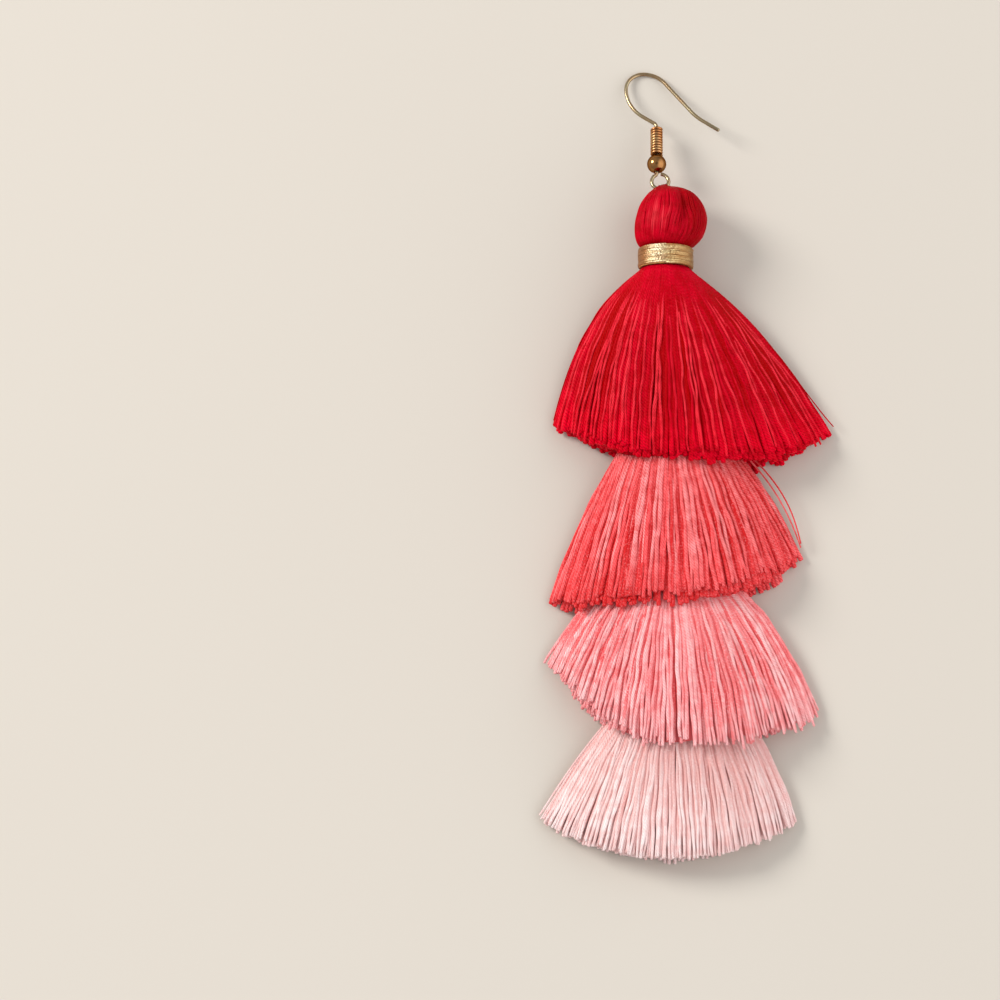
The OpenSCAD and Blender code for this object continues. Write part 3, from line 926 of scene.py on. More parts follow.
def head_layers(drop):
    """The thread ball: threads through the eye and over the ball, drawn into its dimple."""
    rng = np.random.default_rng(HEAD_SEED)
    size = drop.size
    count = size.head_threads
    turn0 = (np.arange(count) + rng.uniform(-0.3, 0.3, count)) / count * 2 * math.pi
    turn0 = ((turn0 + math.pi) % (2 * math.pi) - math.pi)[:, None]
    share = np.linspace(HEAD_START, 1.0, HEAD_ROWS)[None]
    turn = turn0 + rng.normal(0, 0.02, (count, 1)) * np.sin(7 * share + turn0 * 3)
    off = turn - size.crease_turn
    gather = GATHER * hill(off, 0, GATHER_WIDE * size.crease_spread)
    turn = turn - off * (gather * hill(share, GATHER_DOWN, GATHER_SPREAD))
    r = size.head_thread_d / 2 * rng.uniform(0.85, 1.1, (count, 1))
    depth = rng.uniform(-0.04, 0.08, (count, 1)) * MM
    body = drop.head_surface(turn, share, -(r + depth))
    rough = np.concatenate([head_lead(drop, rng, turn0, r), body], axis=1)
    paths = np.stack([spline(path, np.linspace(0, len(path) - 1, HEAD_STEPS)) for path in rough])
    along = np.broadcast_to(np.linspace(0, 1, HEAD_STEPS), paths.shape[:2])
    radii = r * (0.75 + 0.25 * ease(np.minimum(1, along * 5)))
    tone = 0.12 + 0.4 * rng.uniform(0, 1, (count, 1)) + 0 * along
    # Painted shade in the dimple, on the right and at the ends, and a painted sheen on the left
    stain, sheen = (to_steps(mark) for mark in head_painted_light(size, off, turn, share))
    tone = tone + sheen * rng.uniform(0.4, 1.2, (count, 1))
    return [Threads(paths, radii, {"tone": tone, "along": along, "stain": stain})]


def head_lead(drop, rng, turn0, r):
    """The first points of each thread of the ball: through the eye, and up onto the ball."""
    wire = drop.wire
    eye = np.array(drop.eye)
    across, up, out = (np.array(v) for v in (drop.across, drop.up, drop.out))
    side, face = np.sin(turn0), np.cos(turn0)
    ring_r = (wire.eye_d - wire.wire_d) / 2
    uneven = rng.uniform(-THROUGH_UNEVEN, THROUGH_UNEVEN, (len(turn0), 1))
    through = eye - up * (ring_r - wire.wire_d / 2 - THROUGH_INSIDE * MM)
    through = through + across * (THROUGH_RIGHT + side * THROUGH_SPREAD) * MM
    through = through + out * face * THROUGH_PART * MM + up * (uneven + THROUGH_RISE * side) * MM
    over = eye - up * ring_r * OVER_DOWN + across * (OVER_RIGHT + side * OVER_SPREAD) * MM
    over = over + out * np.sign(face) * (wire.wire_d / 2 + r + np.abs(face) * OVER_PART * MM)
    return np.stack([through, over], axis=1)


def head_painted_light(size, off, turn, share):
    """Painted light on the ball: painted shade in its dimple, on its right side and at its ends, and a
    painted sheen where it shines.
    """
    dimple = hill(off, 0, 1.4 * size.crease_spread) * hill(share, 0.36, 0.16)
    right = 0.45 * eased(turn, size.crease_turn, 0.5) * (turn > 0)
    ends = 0.5 * eased(share, 0.8, 0.2) + 0.7 * hill(share, HEAD_START, 0.08)
    sheen = 0.45 * hill(turn, -0.45, 0.5) * hill(share, 0.6, 0.28)
    return np.clip(0.9 * dimple + right + ends, 0, 1), sheen


def to_steps(mark):
    """A mark on the rows of the ball, for the points of its finished threads."""
    rows = np.arange(HEAD_LEAD, HEAD_LEAD + HEAD_ROWS)
    places = np.linspace(0, HEAD_LEAD + HEAD_ROWS - 1, HEAD_STEPS)
    return np.stack([np.interp(places, rows, row) for row in mark])


# The binding: the seed of its random draws, its loose turns and where they start, and points a turn
BINDING_SEED = 11
CROSSING_TURNS = 3
CROSSING_START = 2.1
TURN_STEPS = 56

# How unevenly the metal thread lies: its slow and its quick wobble up and down, and its bulges
WOBBLE = 0.035 * MM
SHIVER = 0.02 * MM
BULGE = 0.025 * MM


def binding_layers(drop):
    """Metal thread wound round the neck, with a few loose turns that cross over the rest."""
    rng = np.random.default_rng(BINDING_SEED)
    size = drop.size
    r = size.metal_thread_d / 2
    outer = size.neck_r + size.binding_gap + size.binding_t
    bottom = drop.eye.y - drop.first_neck + size.binding_gap
    length = size.binding_len - 2 * size.binding_gap
    wound = wound_thread(drop, rng, outer - r, bottom + r, length - 2 * r, size.binding_turns, r, 0)
    crossing = wound_thread(
        drop, rng, outer - r * 0.6, bottom + r * 1.5, length - 3 * r, CROSSING_TURNS, r * 0.8, CROSSING_START
    )
    return [wound, crossing]


def wound_thread(drop, rng, radius, bottom, length, turns, r, phase):
    """One metal thread wound round the neck: painted coppery shade at the left edge, a painted highlight
    where it catches the light, and painted shade at the right.
    """
    steps = turns * TURN_STEPS + 1
    u = np.linspace(0, 1, steps)
    turn = 2 * math.pi * turns * u + phase
    wobble = WOBBLE * np.sin(turn * 1.7 + phase) + SHIVER * np.sin(turn * 5.3)
    y = bottom + length * u + wobble
    out = radius + BULGE * np.sin(turn * 3.1 + 1)
    path = np.stack([drop.line_x0 + out * np.sin(turn), y, drop.first_z + out * np.cos(turn)], axis=-1)
    # Painted shade, coppery, at the left edge
    painted_edge_shade = eased(-np.sin(turn), 0.55, 0.25)[None]
    # A painted highlight where the thread catches the light, brighter on some turns
    painted_glint = hill(np.sin(turn), -0.35, 0.3)[None]
    tone = painted_glint * rng.uniform(0.6, 1.0, turns + 1)[(turns * u).astype(int)]
    # Painted shade at the right
    shade = eased(np.sin(turn), 0.1, 0.5)[None]
    # The marks carry the painted highlight, the painted shade at the right and the painted edge shade, in
    # that order
    return Threads(path[None], np.full((1, steps), r), {"tone": tone, "along": shade, "stain": painted_edge_shade})


# Meshes made by hand


def deselect():
    """Leaves edit mode and selects nothing."""
    if bpy.context.mode != "OBJECT":
        bpy.ops.object.mode_set(mode="OBJECT")
    bpy.ops.object.select_all(action="DESELECT")


def choose(piece):
    """Selects a piece and nothing else."""
    deselect()
    piece.select_set(True)
    bpy.context.view_layer.objects.active = piece


def settle(piece, name, matrix=None):
    """Names a piece and brings its place into its mesh."""
    choose(piece)
    piece.name = piece.data.name = name
    if matrix is not None:
        piece.matrix_world = matrix @ piece.matrix_world
    bpy.ops.object.transform_apply(location=True, rotation=True, scale=True)


# The steepest edge between two faces that is still smooth, in degrees
METAL_SMOOTH = 40
THREAD_SMOOTH = 50

# How near each other two points are when they are merged
SAME_PLACE = 0.001 * MM


def outward(piece):
    """Merges doubles and turns every face outwards."""
    bpy.context.view_layer.objects.active = piece
    bpy.ops.object.mode_set(mode="EDIT")
    bpy.ops.mesh.select_all(action="SELECT")
    bpy.ops.mesh.remove_doubles(threshold=SAME_PLACE)
    bpy.ops.mesh.normals_make_consistent(inside=False)
    bpy.ops.object.mode_set(mode="OBJECT")


def smooth(piece, degrees=METAL_SMOOTH):
    """Shades a piece smooth, up to its sharp edges."""
    choose(piece)
    bpy.ops.object.shade_smooth_by_angle(angle=math.radians(degrees))


def finished(piece, nodes, material=None):
    """Seats a piece on the earring's body, in place of its nodes in the frame."""
    if material is not None:
        piece.data.materials.clear()
        piece.data.materials.append(material)
    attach(piece, "root")
    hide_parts(*nodes)


def open_circle(points, r, place=(0, 0, 0), turn=(0, 0, 0)):
    """A bare ring of points to start a piece from."""
    deselect()
    bpy.ops.mesh.primitive_circle_add(
        vertices=points, radius=r, fill_type="NOTHING", location=place, rotation=turn
    )
    bpy.ops.object.transform_apply(location=True, rotation=True, scale=True)
    return bpy.context.object


def close_ends():
    """Fills the open ends of the piece that is edited, and leaves edit mode."""
    bpy.ops.mesh.select_all(action="SELECT")
    bpy.ops.mesh.fill_holes(sides=0)
    bpy.ops.object.mode_set(mode="OBJECT")


def skinned(name, rings, closed_tube=False):
    """A closed skin through rings of points: a circle is extruded from ring to ring."""
    piece = open_circle(len(rings[0]), MM)
    bpy.ops.object.mode_set(mode="EDIT")
    bpy.ops.mesh.select_all(action="SELECT")
    place_ring(piece, rings[0])
    for ring in rings[1:]:
        bpy.ops.mesh.extrude_edges_move()
        place_ring(piece, ring)
    if closed_tube:
        bpy.ops.object.mode_set(mode="OBJECT")
        bpy.ops.object.mode_set(mode="EDIT")
        bpy.ops.mesh.select_all(action="DESELECT")
        bpy.ops.mesh.select_non_manifold()
        bpy.ops.mesh.bridge_edge_loops()
    else:
        bpy.ops.mesh.select_all(action="SELECT")
        bpy.ops.mesh.fill_holes(sides=0)
    bpy.ops.mesh.select_all(action="SELECT")
    bpy.ops.mesh.normals_make_consistent(inside=False)
    bpy.ops.object.mode_set(mode="OBJECT")
    settle(piece, name)
    smooth(piece, THREAD_SMOOTH)
    return piece


def place_ring(piece, ring):
    """Moves the points that are selected onto a ring."""
    mesh = bmesh.from_edit_mesh(piece.data)
    chosen = sorted((v for v in mesh.verts if v.select), key=lambda v: v.index)
    if len(chosen) != len(ring):
        raise RuntimeError(f"{piece.name}: {len(chosen)} points are selected, not {len(ring)}")
    for vertex, place in zip(chosen, ring):
        vertex.co = place
    mesh.verts.index_update()
    bmesh.update_edit_mesh(piece.data)


# Points round a wire, and the runs of its rounded tip: the length of each in radii, and the share
# of its width that it ends with
WIRE_SIDES = 16
WIRE_TIP = ((0.25, 0.9), (0.18, 0.72), (0.07, 0.5))
WIRE_TIP_LENGTH = sum(length for length, width in WIRE_TIP)


class WirePen:
    """Draws a wire in the XY plane by extruding and spinning one ring of points."""

    def __init__(self, x, y, heading, r):
        self.x, self.y, self.heading, self.r = x, y, heading, r
        self.piece = open_circle(WIRE_SIDES, r, (x, y, 0), (math.pi / 2, 0, heading + math.pi / 2))
        bpy.ops.object.mode_set(mode="EDIT")
        bpy.ops.mesh.select_all(action="SELECT")

    def run(self, length, width=1.0):
        """A straight length, and the share of its width that it ends with."""
        step = (length * math.cos(self.heading), length * math.sin(self.heading), 0)
        bpy.ops.mesh.extrude_edges_move(TRANSFORM_OT_translate={"value": step})
        self.x += step[0]
        self.y += step[1]
        if width != 1:
            bpy.ops.transform.resize(value=(width,) * 3, center_override=(self.x, self.y, 0))

    def bend(self, radius, turn, steps):
        """A bend to the right, or to the left where the turn is less than 0."""
        side = math.copysign(1, turn)
        h = self.heading
        centre = (self.x + radius * side * math.sin(h), self.y - radius * side * math.cos(h), 0)
        bpy.ops.mesh.spin(steps=steps, angle=turn, center=centre, axis=(0, 0, 1))
        self.heading = h - turn
        h = self.heading
        self.x = centre[0] - radius * side * math.sin(h)
        self.y = centre[1] + radius * side * math.cos(h)

    def tip(self):
        """A rounded cut end, and the ends closed."""
        for length, width in WIRE_TIP:
            self.run(self.r * length, width)
        close_ends()


# Materials


def new_material(name):
    """A new material, with its node tree and its shader."""
    material = bpy.data.materials.new(name)
    material.use_nodes = True
    tree = material.node_tree
    return material, tree, tree.nodes["Principled BSDF"]


def put(tree, kind, sources=None, **settings):
    """Adds a node. Sources are its inputs: a socket to link from, or a value."""
    node = tree.nodes.new(kind)
    for name, value in settings.items():
        setattr(node, name, value)
    for name, source in (sources or {}).items():
        feed(tree, source, node.inputs[name])
    return node


def feed(tree, source, socket):
    """Links a socket to its source, or gives it its value."""
    if isinstance(source, bpy.types.NodeSocket):
        tree.links.new(source, socket)
    else:
        socket.default_value = source


def maths(tree, operation, *values):
    """The result of one operation on values or sockets."""
    return put(tree, "ShaderNodeMath", dict(enumerate(values)), operation=operation).outputs[0]


def blend(tree, share, a, b):
    """A colour between a and b."""
    a, b = (c if isinstance(c, bpy.types.NodeSocket) else (*c[:3], 1) for c in (a, b))
    return put(tree, "ShaderNodeMix", {0: share, 6: a, 7: b}, data_type="RGBA").outputs[2]


def coated(tree, colour, *coats):
    """A colour under coats, each with its share and its own colour."""
    for share, coat in coats:
        colour = blend(tree, share, colour, coat)
    return colour


def ramp(tree, share, low, high, most=1.0, least=0.0):
    """Maps a share to a value from least, at the low place, to most at the high one, eased."""
    sources = {0: share, 1: low, 2: high, 3: least, 4: most}
    return put(tree, "ShaderNodeMapRange", sources, interpolation_type="SMOOTHSTEP").outputs[0]


def scaled(tree, share, by, start):
    """A share times a number, added to a start."""
    return maths(tree, "ADD", maths(tree, "MULTIPLY", share, by), start)


def own_place(tree):
    """A place on the piece, in its own coordinates."""
    return put(tree, "ShaderNodeTexCoord").outputs["Object"]


def noise(tree, place, scale, detail=3.0):
    """Soft random patches, about one for each step of 1 / scale in metres."""
    return put(tree, "ShaderNodeTexNoise", {"Vector": place, "Scale": scale, "Detail": detail}).outputs[0]


def streaks(tree, place, scale):
    """Noise that is drawn out along an axis."""
    return noise(tree, put(tree, "ShaderNodeMapping", {"Vector": place, "Scale": scale}).outputs[0], 1.0)


def marks(tree):
    """The three marks that each point of a thread carries."""
    return [put(tree, "ShaderNodeAttribute", attribute_name=mark).outputs["Fac"] for mark in MARKS]


def winding(tree, plies, pitch):
    """A wave that winds round a thread, with a crest for each ply."""
    uv = put(tree, "ShaderNodeUVMap", uv_map="thread").outputs[0]
    split = put(tree, "ShaderNodeSeparateXYZ", {0: uv})
    turns = maths(tree, "DIVIDE", split.outputs[1], pitch)
    wound = scaled(tree, split.outputs[0], float(plies), turns)
    return maths(tree, "SINE", maths(tree, "MULTIPLY", wound, 2 * math.pi))


def dress(tree, shader, colour, roughness, height, strength, depth):
    """Gives a shader its colour and roughness, and a fine relief of some depth in millimetres."""
    bump = put(tree, "ShaderNodeBump", {"Height": height, "Strength": strength, "Distance": depth * MM})
    feed(tree, colour, shader.inputs["Base Color"])
    feed(tree, roughness, shader.inputs["Roughness"])
    feed(tree, bump.outputs[0], shader.inputs["Normal"])


def shaded(colour, share):
    """A colour with all its channels sunk by the same share."""
    return tuple(channel * share for channel in colour)


def towards(colour, other, share):
    """A colour moved towards another."""
    return tuple(a + (b - a) * share for a, b in zip(colour, other))


WHITE = (1, 1, 1)

# The twist of the thread: the length of one turn, its plies, and how deep they lie in millimetres
TWIST_PITCH = 1.0 * MM
PLIES = 2
PLY_RELIEF = 0.07

# The twist of the thread of the ball, which is drawn tight, and of the binding's metal strip
HEAD_TWIST = 0.9 * MM
HEAD_RELIEF = 0.02
STRIP_PITCH = 0.42 * MM

# How much faster the weaker channels of a dye sink as it gets deeper
DEEPER_POWER = 1.8

# How a dye looks on its threads, with the light painted into it, as shares: how dark the deep threads
# are, as painted shade in the gaps; how much brighter the bright ones get and how far they turn pale,
# as painted highlights; how far a patch pulls towards deeper dye or painted shade; how far the top turns
# pale, or deeper as painted shade where the share is below 0, and where that ends; how far the hem turns
# pale, towards the lit copy, as painted light on the ends; how dark the grooves between the plies are,
# as painted shade; how much pale fibre shows; and how rough and how glossy the thread is
Dye = namedtuple("Dye", "deep gain pale stain top top_end hem groove fibre roughness gloss")
DYES_AND_PAINTED_LIGHT = [
    Dye(0.85, 1.48, 0.04, 0.77, 0.0, 0.3, 0.0, 0.85, 0.14, 0.4, 0.03),
    Dye(0.6, 1.0, 0.28, 0.68, 0.12, 0.75, 0.0, 0.8, 0.35, 0.5, 0.08),
    Dye(0.82, 1.0, 0.5, 0.66, 0.14, 0.6, 0.52, 0.6, 0.4, 0.5, 0.1),
    # The blush tier's top share below 0 deepens its top: painted shade under the tier above
    Dye(0.93, 1.0, 0.52, 0.8, -0.1, 0.85, 0.5, 0.45, 0.35, 0.5, 0.12),
]
HEAD_DYE_AND_PAINTED_LIGHT = DYES_AND_PAINTED_LIGHT[0]._replace(roughness=0.34, groove=0.35, fibre=0.1)


def paler(colour, share):
    """A colour moved towards white, or a deeper one where the share is below 0."""
    return towards(colour, WHITE, share) if share >= 0 else deeper(colour, 1 + share)


def deeper(colour, share):
    """A deeper colour of the same hue, for deeper dye and for painted shade: its weaker channels sink first.
    """
    return tuple(share * channel**DEEPER_POWER for channel in colour)


def thread_material(name, colour, dye, pitch=TWIST_PITCH, relief=PLY_RELIEF):
    """Twisted thread: plies that wind round it, painted shade and painted highlights by its brightness, and a
    change of colour along it.
    """
    material, tree, shader = new_material(name)
    tone, along, stain = marks(tree)
    place = own_place(tree)
    ply_height = maths(tree, "ABSOLUTE", winding(tree, PLIES, pitch))
    mottle = noise(tree, place, 700.0)
    fuzz = noise(tree, place, 4200.0)
    # A darker copy of the dye: painted shade for the threads that lie low in the gaps
    deep = deeper(colour, dye.deep)
    # A brighter, lit copy of the dye, and, paler still, the painted highlight of the top threads
    lit_colour = shaded(colour, dye.gain)
    light = paler(lit_colour, dye.pale)
    loose = ramp(tree, along, 0.02, 0.3, 1.0, 0.25)
    body = coated(
        tree,
        deep,
        # Low threads take the painted shade and bright ones the painted highlight
        (ramp(tree, tone, 0.0, 0.5), colour),
        (ramp(tree, tone, 0.5, 1.0), light),
        # Paler towards the top; deeper there on the last tier, as painted shade under the tier above
        (ramp(tree, along, dye.top_end, 0.0, 0.7), paler(colour, dye.top)),
        # Painted light on the thread ends: the hem moves towards the lit copy
        (ramp(tree, along, 0.72, 1.0, 0.6), paler(lit_colour, dye.hem)),
        # Patches of deeper dye, and painted shade
        (stain, deeper(colour, dye.stain)),
        (ramp(tree, mottle, 0.6, 0.35, 0.45), deep),
        # Painted shade in the hollows between the plies
        (maths(tree, "MULTIPLY", ramp(tree, ply_height, 0.65, 0.0, dye.groove), loose), deep),
        # Random pale fibres, in the painted highlight colour
        (ramp(tree, fuzz, 0.5, 0.7, dye.fibre), light),
    )
    rough = scaled(tree, fuzz, 0.2, dye.roughness - 0.1)
    dress(tree, shader, body, rough, scaled(tree, fuzz, 0.5, ply_height), 0.8, relief)
    shader.inputs["Specular IOR Level"].default_value = dye.gloss
    return material


def core_material(name, colour):
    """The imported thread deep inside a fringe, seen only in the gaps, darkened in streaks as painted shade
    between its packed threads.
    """
    material, tree, shader = new_material(name)
    lines = streaks(tree, own_place(tree), (2600.0, 180.0, 1200.0))
    # Streaks of painted shade between the packed threads
    body = blend(tree, ramp(tree, lines, 0.3, 0.7), shaded(colour, 0.55), colour)
    dress(tree, shader, body, 0.8, lines, 0.7, 0.2)
    shader.inputs["Specular IOR Level"].default_value = 0.05
    return material


def polished_gold(name, colour, thin, roughness):
    """Thin gold-toned plating with a fine grain, and patches where it is rubbed thin."""
    material, tree, shader = new_material(name)
    place = own_place(tree)
    patches = noise(tree, place, 420.0, 4.0)
    grain = noise(tree, place, 5200.0)
    body = blend(tree, ramp(tree, patches, 0.38, 0.68), colour, thin)
    dress(tree, shader, body, scaled(tree, grain, 0.16, roughness - 0.05), grain, 0.25, 0.02)
    shader.inputs["Metallic"].default_value = 1.0
    shader.inputs["Specular Tint"].default_value = (*towards(thin, WHITE, 0.25), 1)
    return material


def metal_thread(name, colour, thin, copper):
    """Flat metal strip wound on a core thread, which sparkles where a turn catches the light: there a painted
    highlight, with painted shade in the hollows of the strip, on its right and, coppery, at its left edge.
    """
    material, tree, shader = new_material(name)
    painted_glint, shade, painted_edge_shade = marks(tree)
    place = own_place(tree)
    wave = winding(tree, 1, STRIP_PITCH)
    patches = streaks(tree, place, (420.0, 3600.0, 420.0))
    glints = noise(tree, place, 2600.0, 2.0)
    body = coated(
        tree,
        colour,
        (ramp(tree, patches, 0.4, 0.64), thin),
        # Painted shade in the hollows of the wound strip
        (ramp(tree, wave, 0.1, -0.9, 0.3), thin),
        # Painted highlight
        (maths(tree, "MULTIPLY", painted_glint, 0.75), towards(colour, WHITE, 0.4)),
        # Painted shade at the right
        (maths(tree, "MULTIPLY", shade, 0.75), shaded(thin, 0.75)),
        # Painted shade, coppery, at the left edge
        (maths(tree, "MULTIPLY", painted_edge_shade, 0.95), copper),
        (ramp(tree, glints, 0.56, 0.36, 0.6), shaded(thin, 0.6)),
    )
    rough = scaled(tree, glints, 0.3, 0.22)
    dress(tree, shader, body, rough, scaled(tree, glints, 1.5, wave), 0.4, 0.05)
    shader.inputs["Metallic"].default_value = 0.85
    return material


def table_material(colour):
    """A plain matt table, very slightly clouded."""
    material, tree, shader = new_material("pale_table")
    cloud = noise(tree, own_place(tree), 6.0)
    body = blend(tree, ramp(tree, cloud, 0.3, 0.7), shaded(colour, 0.99), colour)
    feed(tree, body, shader.inputs["Base Color"])
    shader.inputs["Roughness"].default_value = 0.9
    shader.inputs["Specular IOR Level"].default_value = 0.1
    return material


# Operators

# Points along each bend of the ear wire
EYE_STEPS = 44
SMALL_BEND_STEPS = 8
FRONT_STEPS = 16
BOW_STEPS = 20
BACK_STEPS = 14

# Points round the coil's wire and along each of its turns
COIL_SIDES = 12
COIL_STEPS = 26

# Points of the ball's outline and round it, and the bevel of its drilled hole
BALL_POINTS = 64
BALL_STEPS = 56
BALL_EDGE = 0.09 * MM


def finish_metal(piece, name, matrix, node, material):
    """Turns a metal piece's faces outwards, brings it to its place and seats it."""
    outward(piece)
    settle(piece, name, matrix)
    smooth(piece)
    finished(piece, [node], material)


class EARRING_OT_ear_wire(bpy.types.Operator):
    """Bend the ear wire: its eye, its stem, its bow and its tip"""

    bl_idname = "earring.ear_wire"
    bl_label = "Bend the ear wire"

    def execute(self, context):
        drop = Drop()
        wire, finish = drop.wire, context.scene.earring_finish
        r = wire.wire_d / 2
        ring_r = (wire.eye_d - wire.wire_d) / 2
        reach = ring_r + wire.eye_bend_r
        side = -wire.eye_step - wire.eye_bend_r
        bend_y = math.sqrt(reach**2 - side**2)
        meet = math.atan2(bend_y, side)
        round_turn = wire.eye_open + 2 * math.pi - meet
        coil_len = wire.coil_turns * (wire.coil_wire_d + wire.turn_gap) + wire.coil_wire_d
        stem_top = drop.coil_up + coil_len + wire.stem_show
        start = (ring_r * math.cos(wire.eye_open), ring_r * math.sin(wire.eye_open))
        pen = WirePen(*start, wire.eye_open - math.pi / 2, r)
        pen.bend(ring_r, round_turn, EYE_STEPS)
        pen.bend(wire.eye_bend_r, meet - math.pi, SMALL_BEND_STEPS)
        pen.run(stem_top - pen.y)
        pen.bend(wire.neck_bend_r, -wire.neck_turn, SMALL_BEND_STEPS)
        pen.run(wire.front_run)
        pen.bend(wire.front_r, wire.neck_turn, FRONT_STEPS)
        pen.bend(wire.bow_r, math.pi / 2, BOW_STEPS)
        pen.bend(wire.back_r, wire.back_turn, BACK_STEPS)
        pen.run(wire.back_leg)
        pen.bend(wire.flick_r, -wire.flick_turn, SMALL_BEND_STEPS)
        pen.run(wire.tip_len - r * WIRE_TIP_LENGTH)
        pen.tip()
        thin = towards(finish.gold, finish.copper, 0.35)
        material = polished_gold("polished_gold", finish.gold, thin, 0.22)
        finish_metal(pen.piece, "ear_wire", drop.hook_matrix(), "ear_hook", material)
        return {"FINISHED"}


class EARRING_OT_wire_coil(bpy.types.Operator):
    """Wind the fine wire round the stem"""

    bl_idname = "earring.wire_coil"
    bl_label = "Wind the coil"

    def execute(self, context):
        drop = Drop()
        wire, finish = drop.wire, context.scene.earring_finish
        r = wire.coil_wire_d / 2
        piece = open_circle(COIL_SIDES, r, (wire.coil_d / 2 - r, 0, r), (math.pi / 2, 0, 0))
        screw = piece.modifiers.new("turns", "SCREW")
        screw.axis = "Z"
        screw.angle = 2 * math.pi
        screw.screw_offset = wire.coil_wire_d + wire.turn_gap
        screw.iterations = wire.coil_turns
        screw.steps = screw.render_steps = COIL_STEPS
        bpy.ops.object.modifier_apply(modifier=screw.name)
        bpy.ops.object.mode_set(mode="EDIT")
        close_ends()
        coppery = towards(finish.pale_gold, finish.copper, 0.7)
        material = polished_gold("coppery_coil", coppery, finish.copper, 0.26)
        matrix = drop.stem_matrix(drop.coil_up)
        finish_metal(piece, "wire_coil", matrix, "hook_coil", material)
        return {"FINISHED"}


class EARRING_OT_wire_ball(bpy.types.Operator):
    """Turn the drilled ball that sits between the coil and the eye"""

    bl_idname = "earring.wire_ball"
    bl_label = "Turn the ball"

    def execute(self, context):
        drop = Drop()
        wire, finish = drop.wire, context.scene.earring_finish
        bore = wire.wire_d / 2 + wire.metal_gap
        piece = open_circle(BALL_POINTS, wire.ball_d / 2, turn=(math.pi / 2, 0, 0))
        bpy.ops.object.mode_set(mode="EDIT")
        mesh = bmesh.from_edit_mesh(piece.data)
        bmesh.ops.delete(mesh, geom=[v for v in mesh.verts if v.co.x < bore], context="VERTS")
        ends = [v for v in mesh.verts if len(v.link_edges) == 1]
        for vertex in ends:
            vertex.co.x = bore
            vertex.co.z = math.copysign(math.sqrt((wire.ball_d / 2) ** 2 - bore**2), vertex.co.z)
        mesh.edges.new(ends)
        for vertex in mesh.verts:
            vertex.select_set(vertex in ends)
        bmesh.update_edit_mesh(piece.data)
        bpy.ops.mesh.bevel(offset=BALL_EDGE, segments=3, affect="VERTICES")
        bpy.ops.mesh.select_all(action="SELECT")
        bpy.ops.mesh.spin(steps=BALL_STEPS, angle=2 * math.pi, center=(0, 0, 0), axis=(0, 0, 1))
        bpy.ops.object.mode_set(mode="OBJECT")
        warm = shaded(towards(finish.tan_gold, finish.copper, 0.3), 0.75)
        material = polished_gold("ball_gold", warm, shaded(finish.copper, 0.5), 0.1)
        matrix = drop.stem_matrix(drop.ball_up)
        finish_metal(piece, "wire_ball", matrix, "hook_ball", material)
        return {"FINISHED"}


class EARRING_OT_thread_head(bpy.types.Operator):
    """Draw the threads through the eye and over the thread ball"""

    bl_idname = "earring.thread_head"
    bl_label = "Make the thread ball"

    def execute(self, context):
        drop = Drop()
        # The ball's thread is the first tier's red, darkened as painted shade
        red = shaded(context.scene.earring_finish.red, 0.86)
        material = thread_material("head_thread", red, HEAD_DYE_AND_PAINTED_LIGHT, HEAD_TWIST, HEAD_RELIEF)
        piece = thread_piece("thread_head", head_layers(drop), HEAD_SIDES, material)
        finished(piece, ["tassel_red"])
        return {"FINISHED"}


# The underlay of the binding: how deep it lies, as a share of the metal thread, and how many gaps
# it stays back from either end
UNDERLAY_SUNK = 0.6
UNDERLAY_GAPS = 1.6


class EARRING_OT_binding(bpy.types.Operator):
    """Wind the metal thread round the neck"""

    bl_idname = "earring.binding"
    bl_label = "Wind the binding"

    def execute(self, context):
        drop = Drop()
        size, finish = drop.size, context.scene.earring_finish
        material = metal_thread("metal_thread", finish.pale_gold, finish.tan_gold, finish.copper)
        piece = thread_piece("binding_thread", binding_layers(drop), METAL_SIDES, material)
        finished(piece, ["gold_binding"])
        inner = size.neck_r + size.binding_gap
        outer = inner + size.binding_t - size.metal_thread_d * UNDERLAY_SUNK
        top = drop.eye.y - drop.first_neck + size.binding_len - UNDERLAY_GAPS * size.binding_gap
        bottom = drop.eye.y - drop.first_neck + UNDERLAY_GAPS * size.binding_gap
        section = ((bottom, inner), (top, inner), (top, outer), (bottom, outer))
        rings = [circle(drop.line_x0, y, drop.first_z, r) for y, r in section]
        under = skinned("binding_underlay", rings, closed_tube=True)
        # The underlay's darker streaks are painted shade
        finished(under, ["gold_binding"], core_material("underlay_gold", finish.tan_gold))
        return {"FINISHED"}


# The core of a fringe: how far it lies below the fan's skin at the neck and how much further at
# the hem, the share of the threads' length that it reaches, and how far it lies below the ball's
# skin. Then its rings down the skirt, the ball and the hollow, where the ball's rings start and
# end, and how far down the mouth and how wide, in gaps, the hollow round the next tier is
CORE_FAT = -0.55 * MM
CORE_FAT_HEM = -0.5 * MM
CORE_TIP = 0.91
CORE_HEAD_FAT = -0.15 * MM
SKIRT_RINGS = 13
HEAD_RINGS = 18
HOLLOW_RINGS = 8
HEAD_SPAN = (0.06, 0.98)
HOLLOW_DOWN = 0.93
HOLLOW_GAPS = 0.8


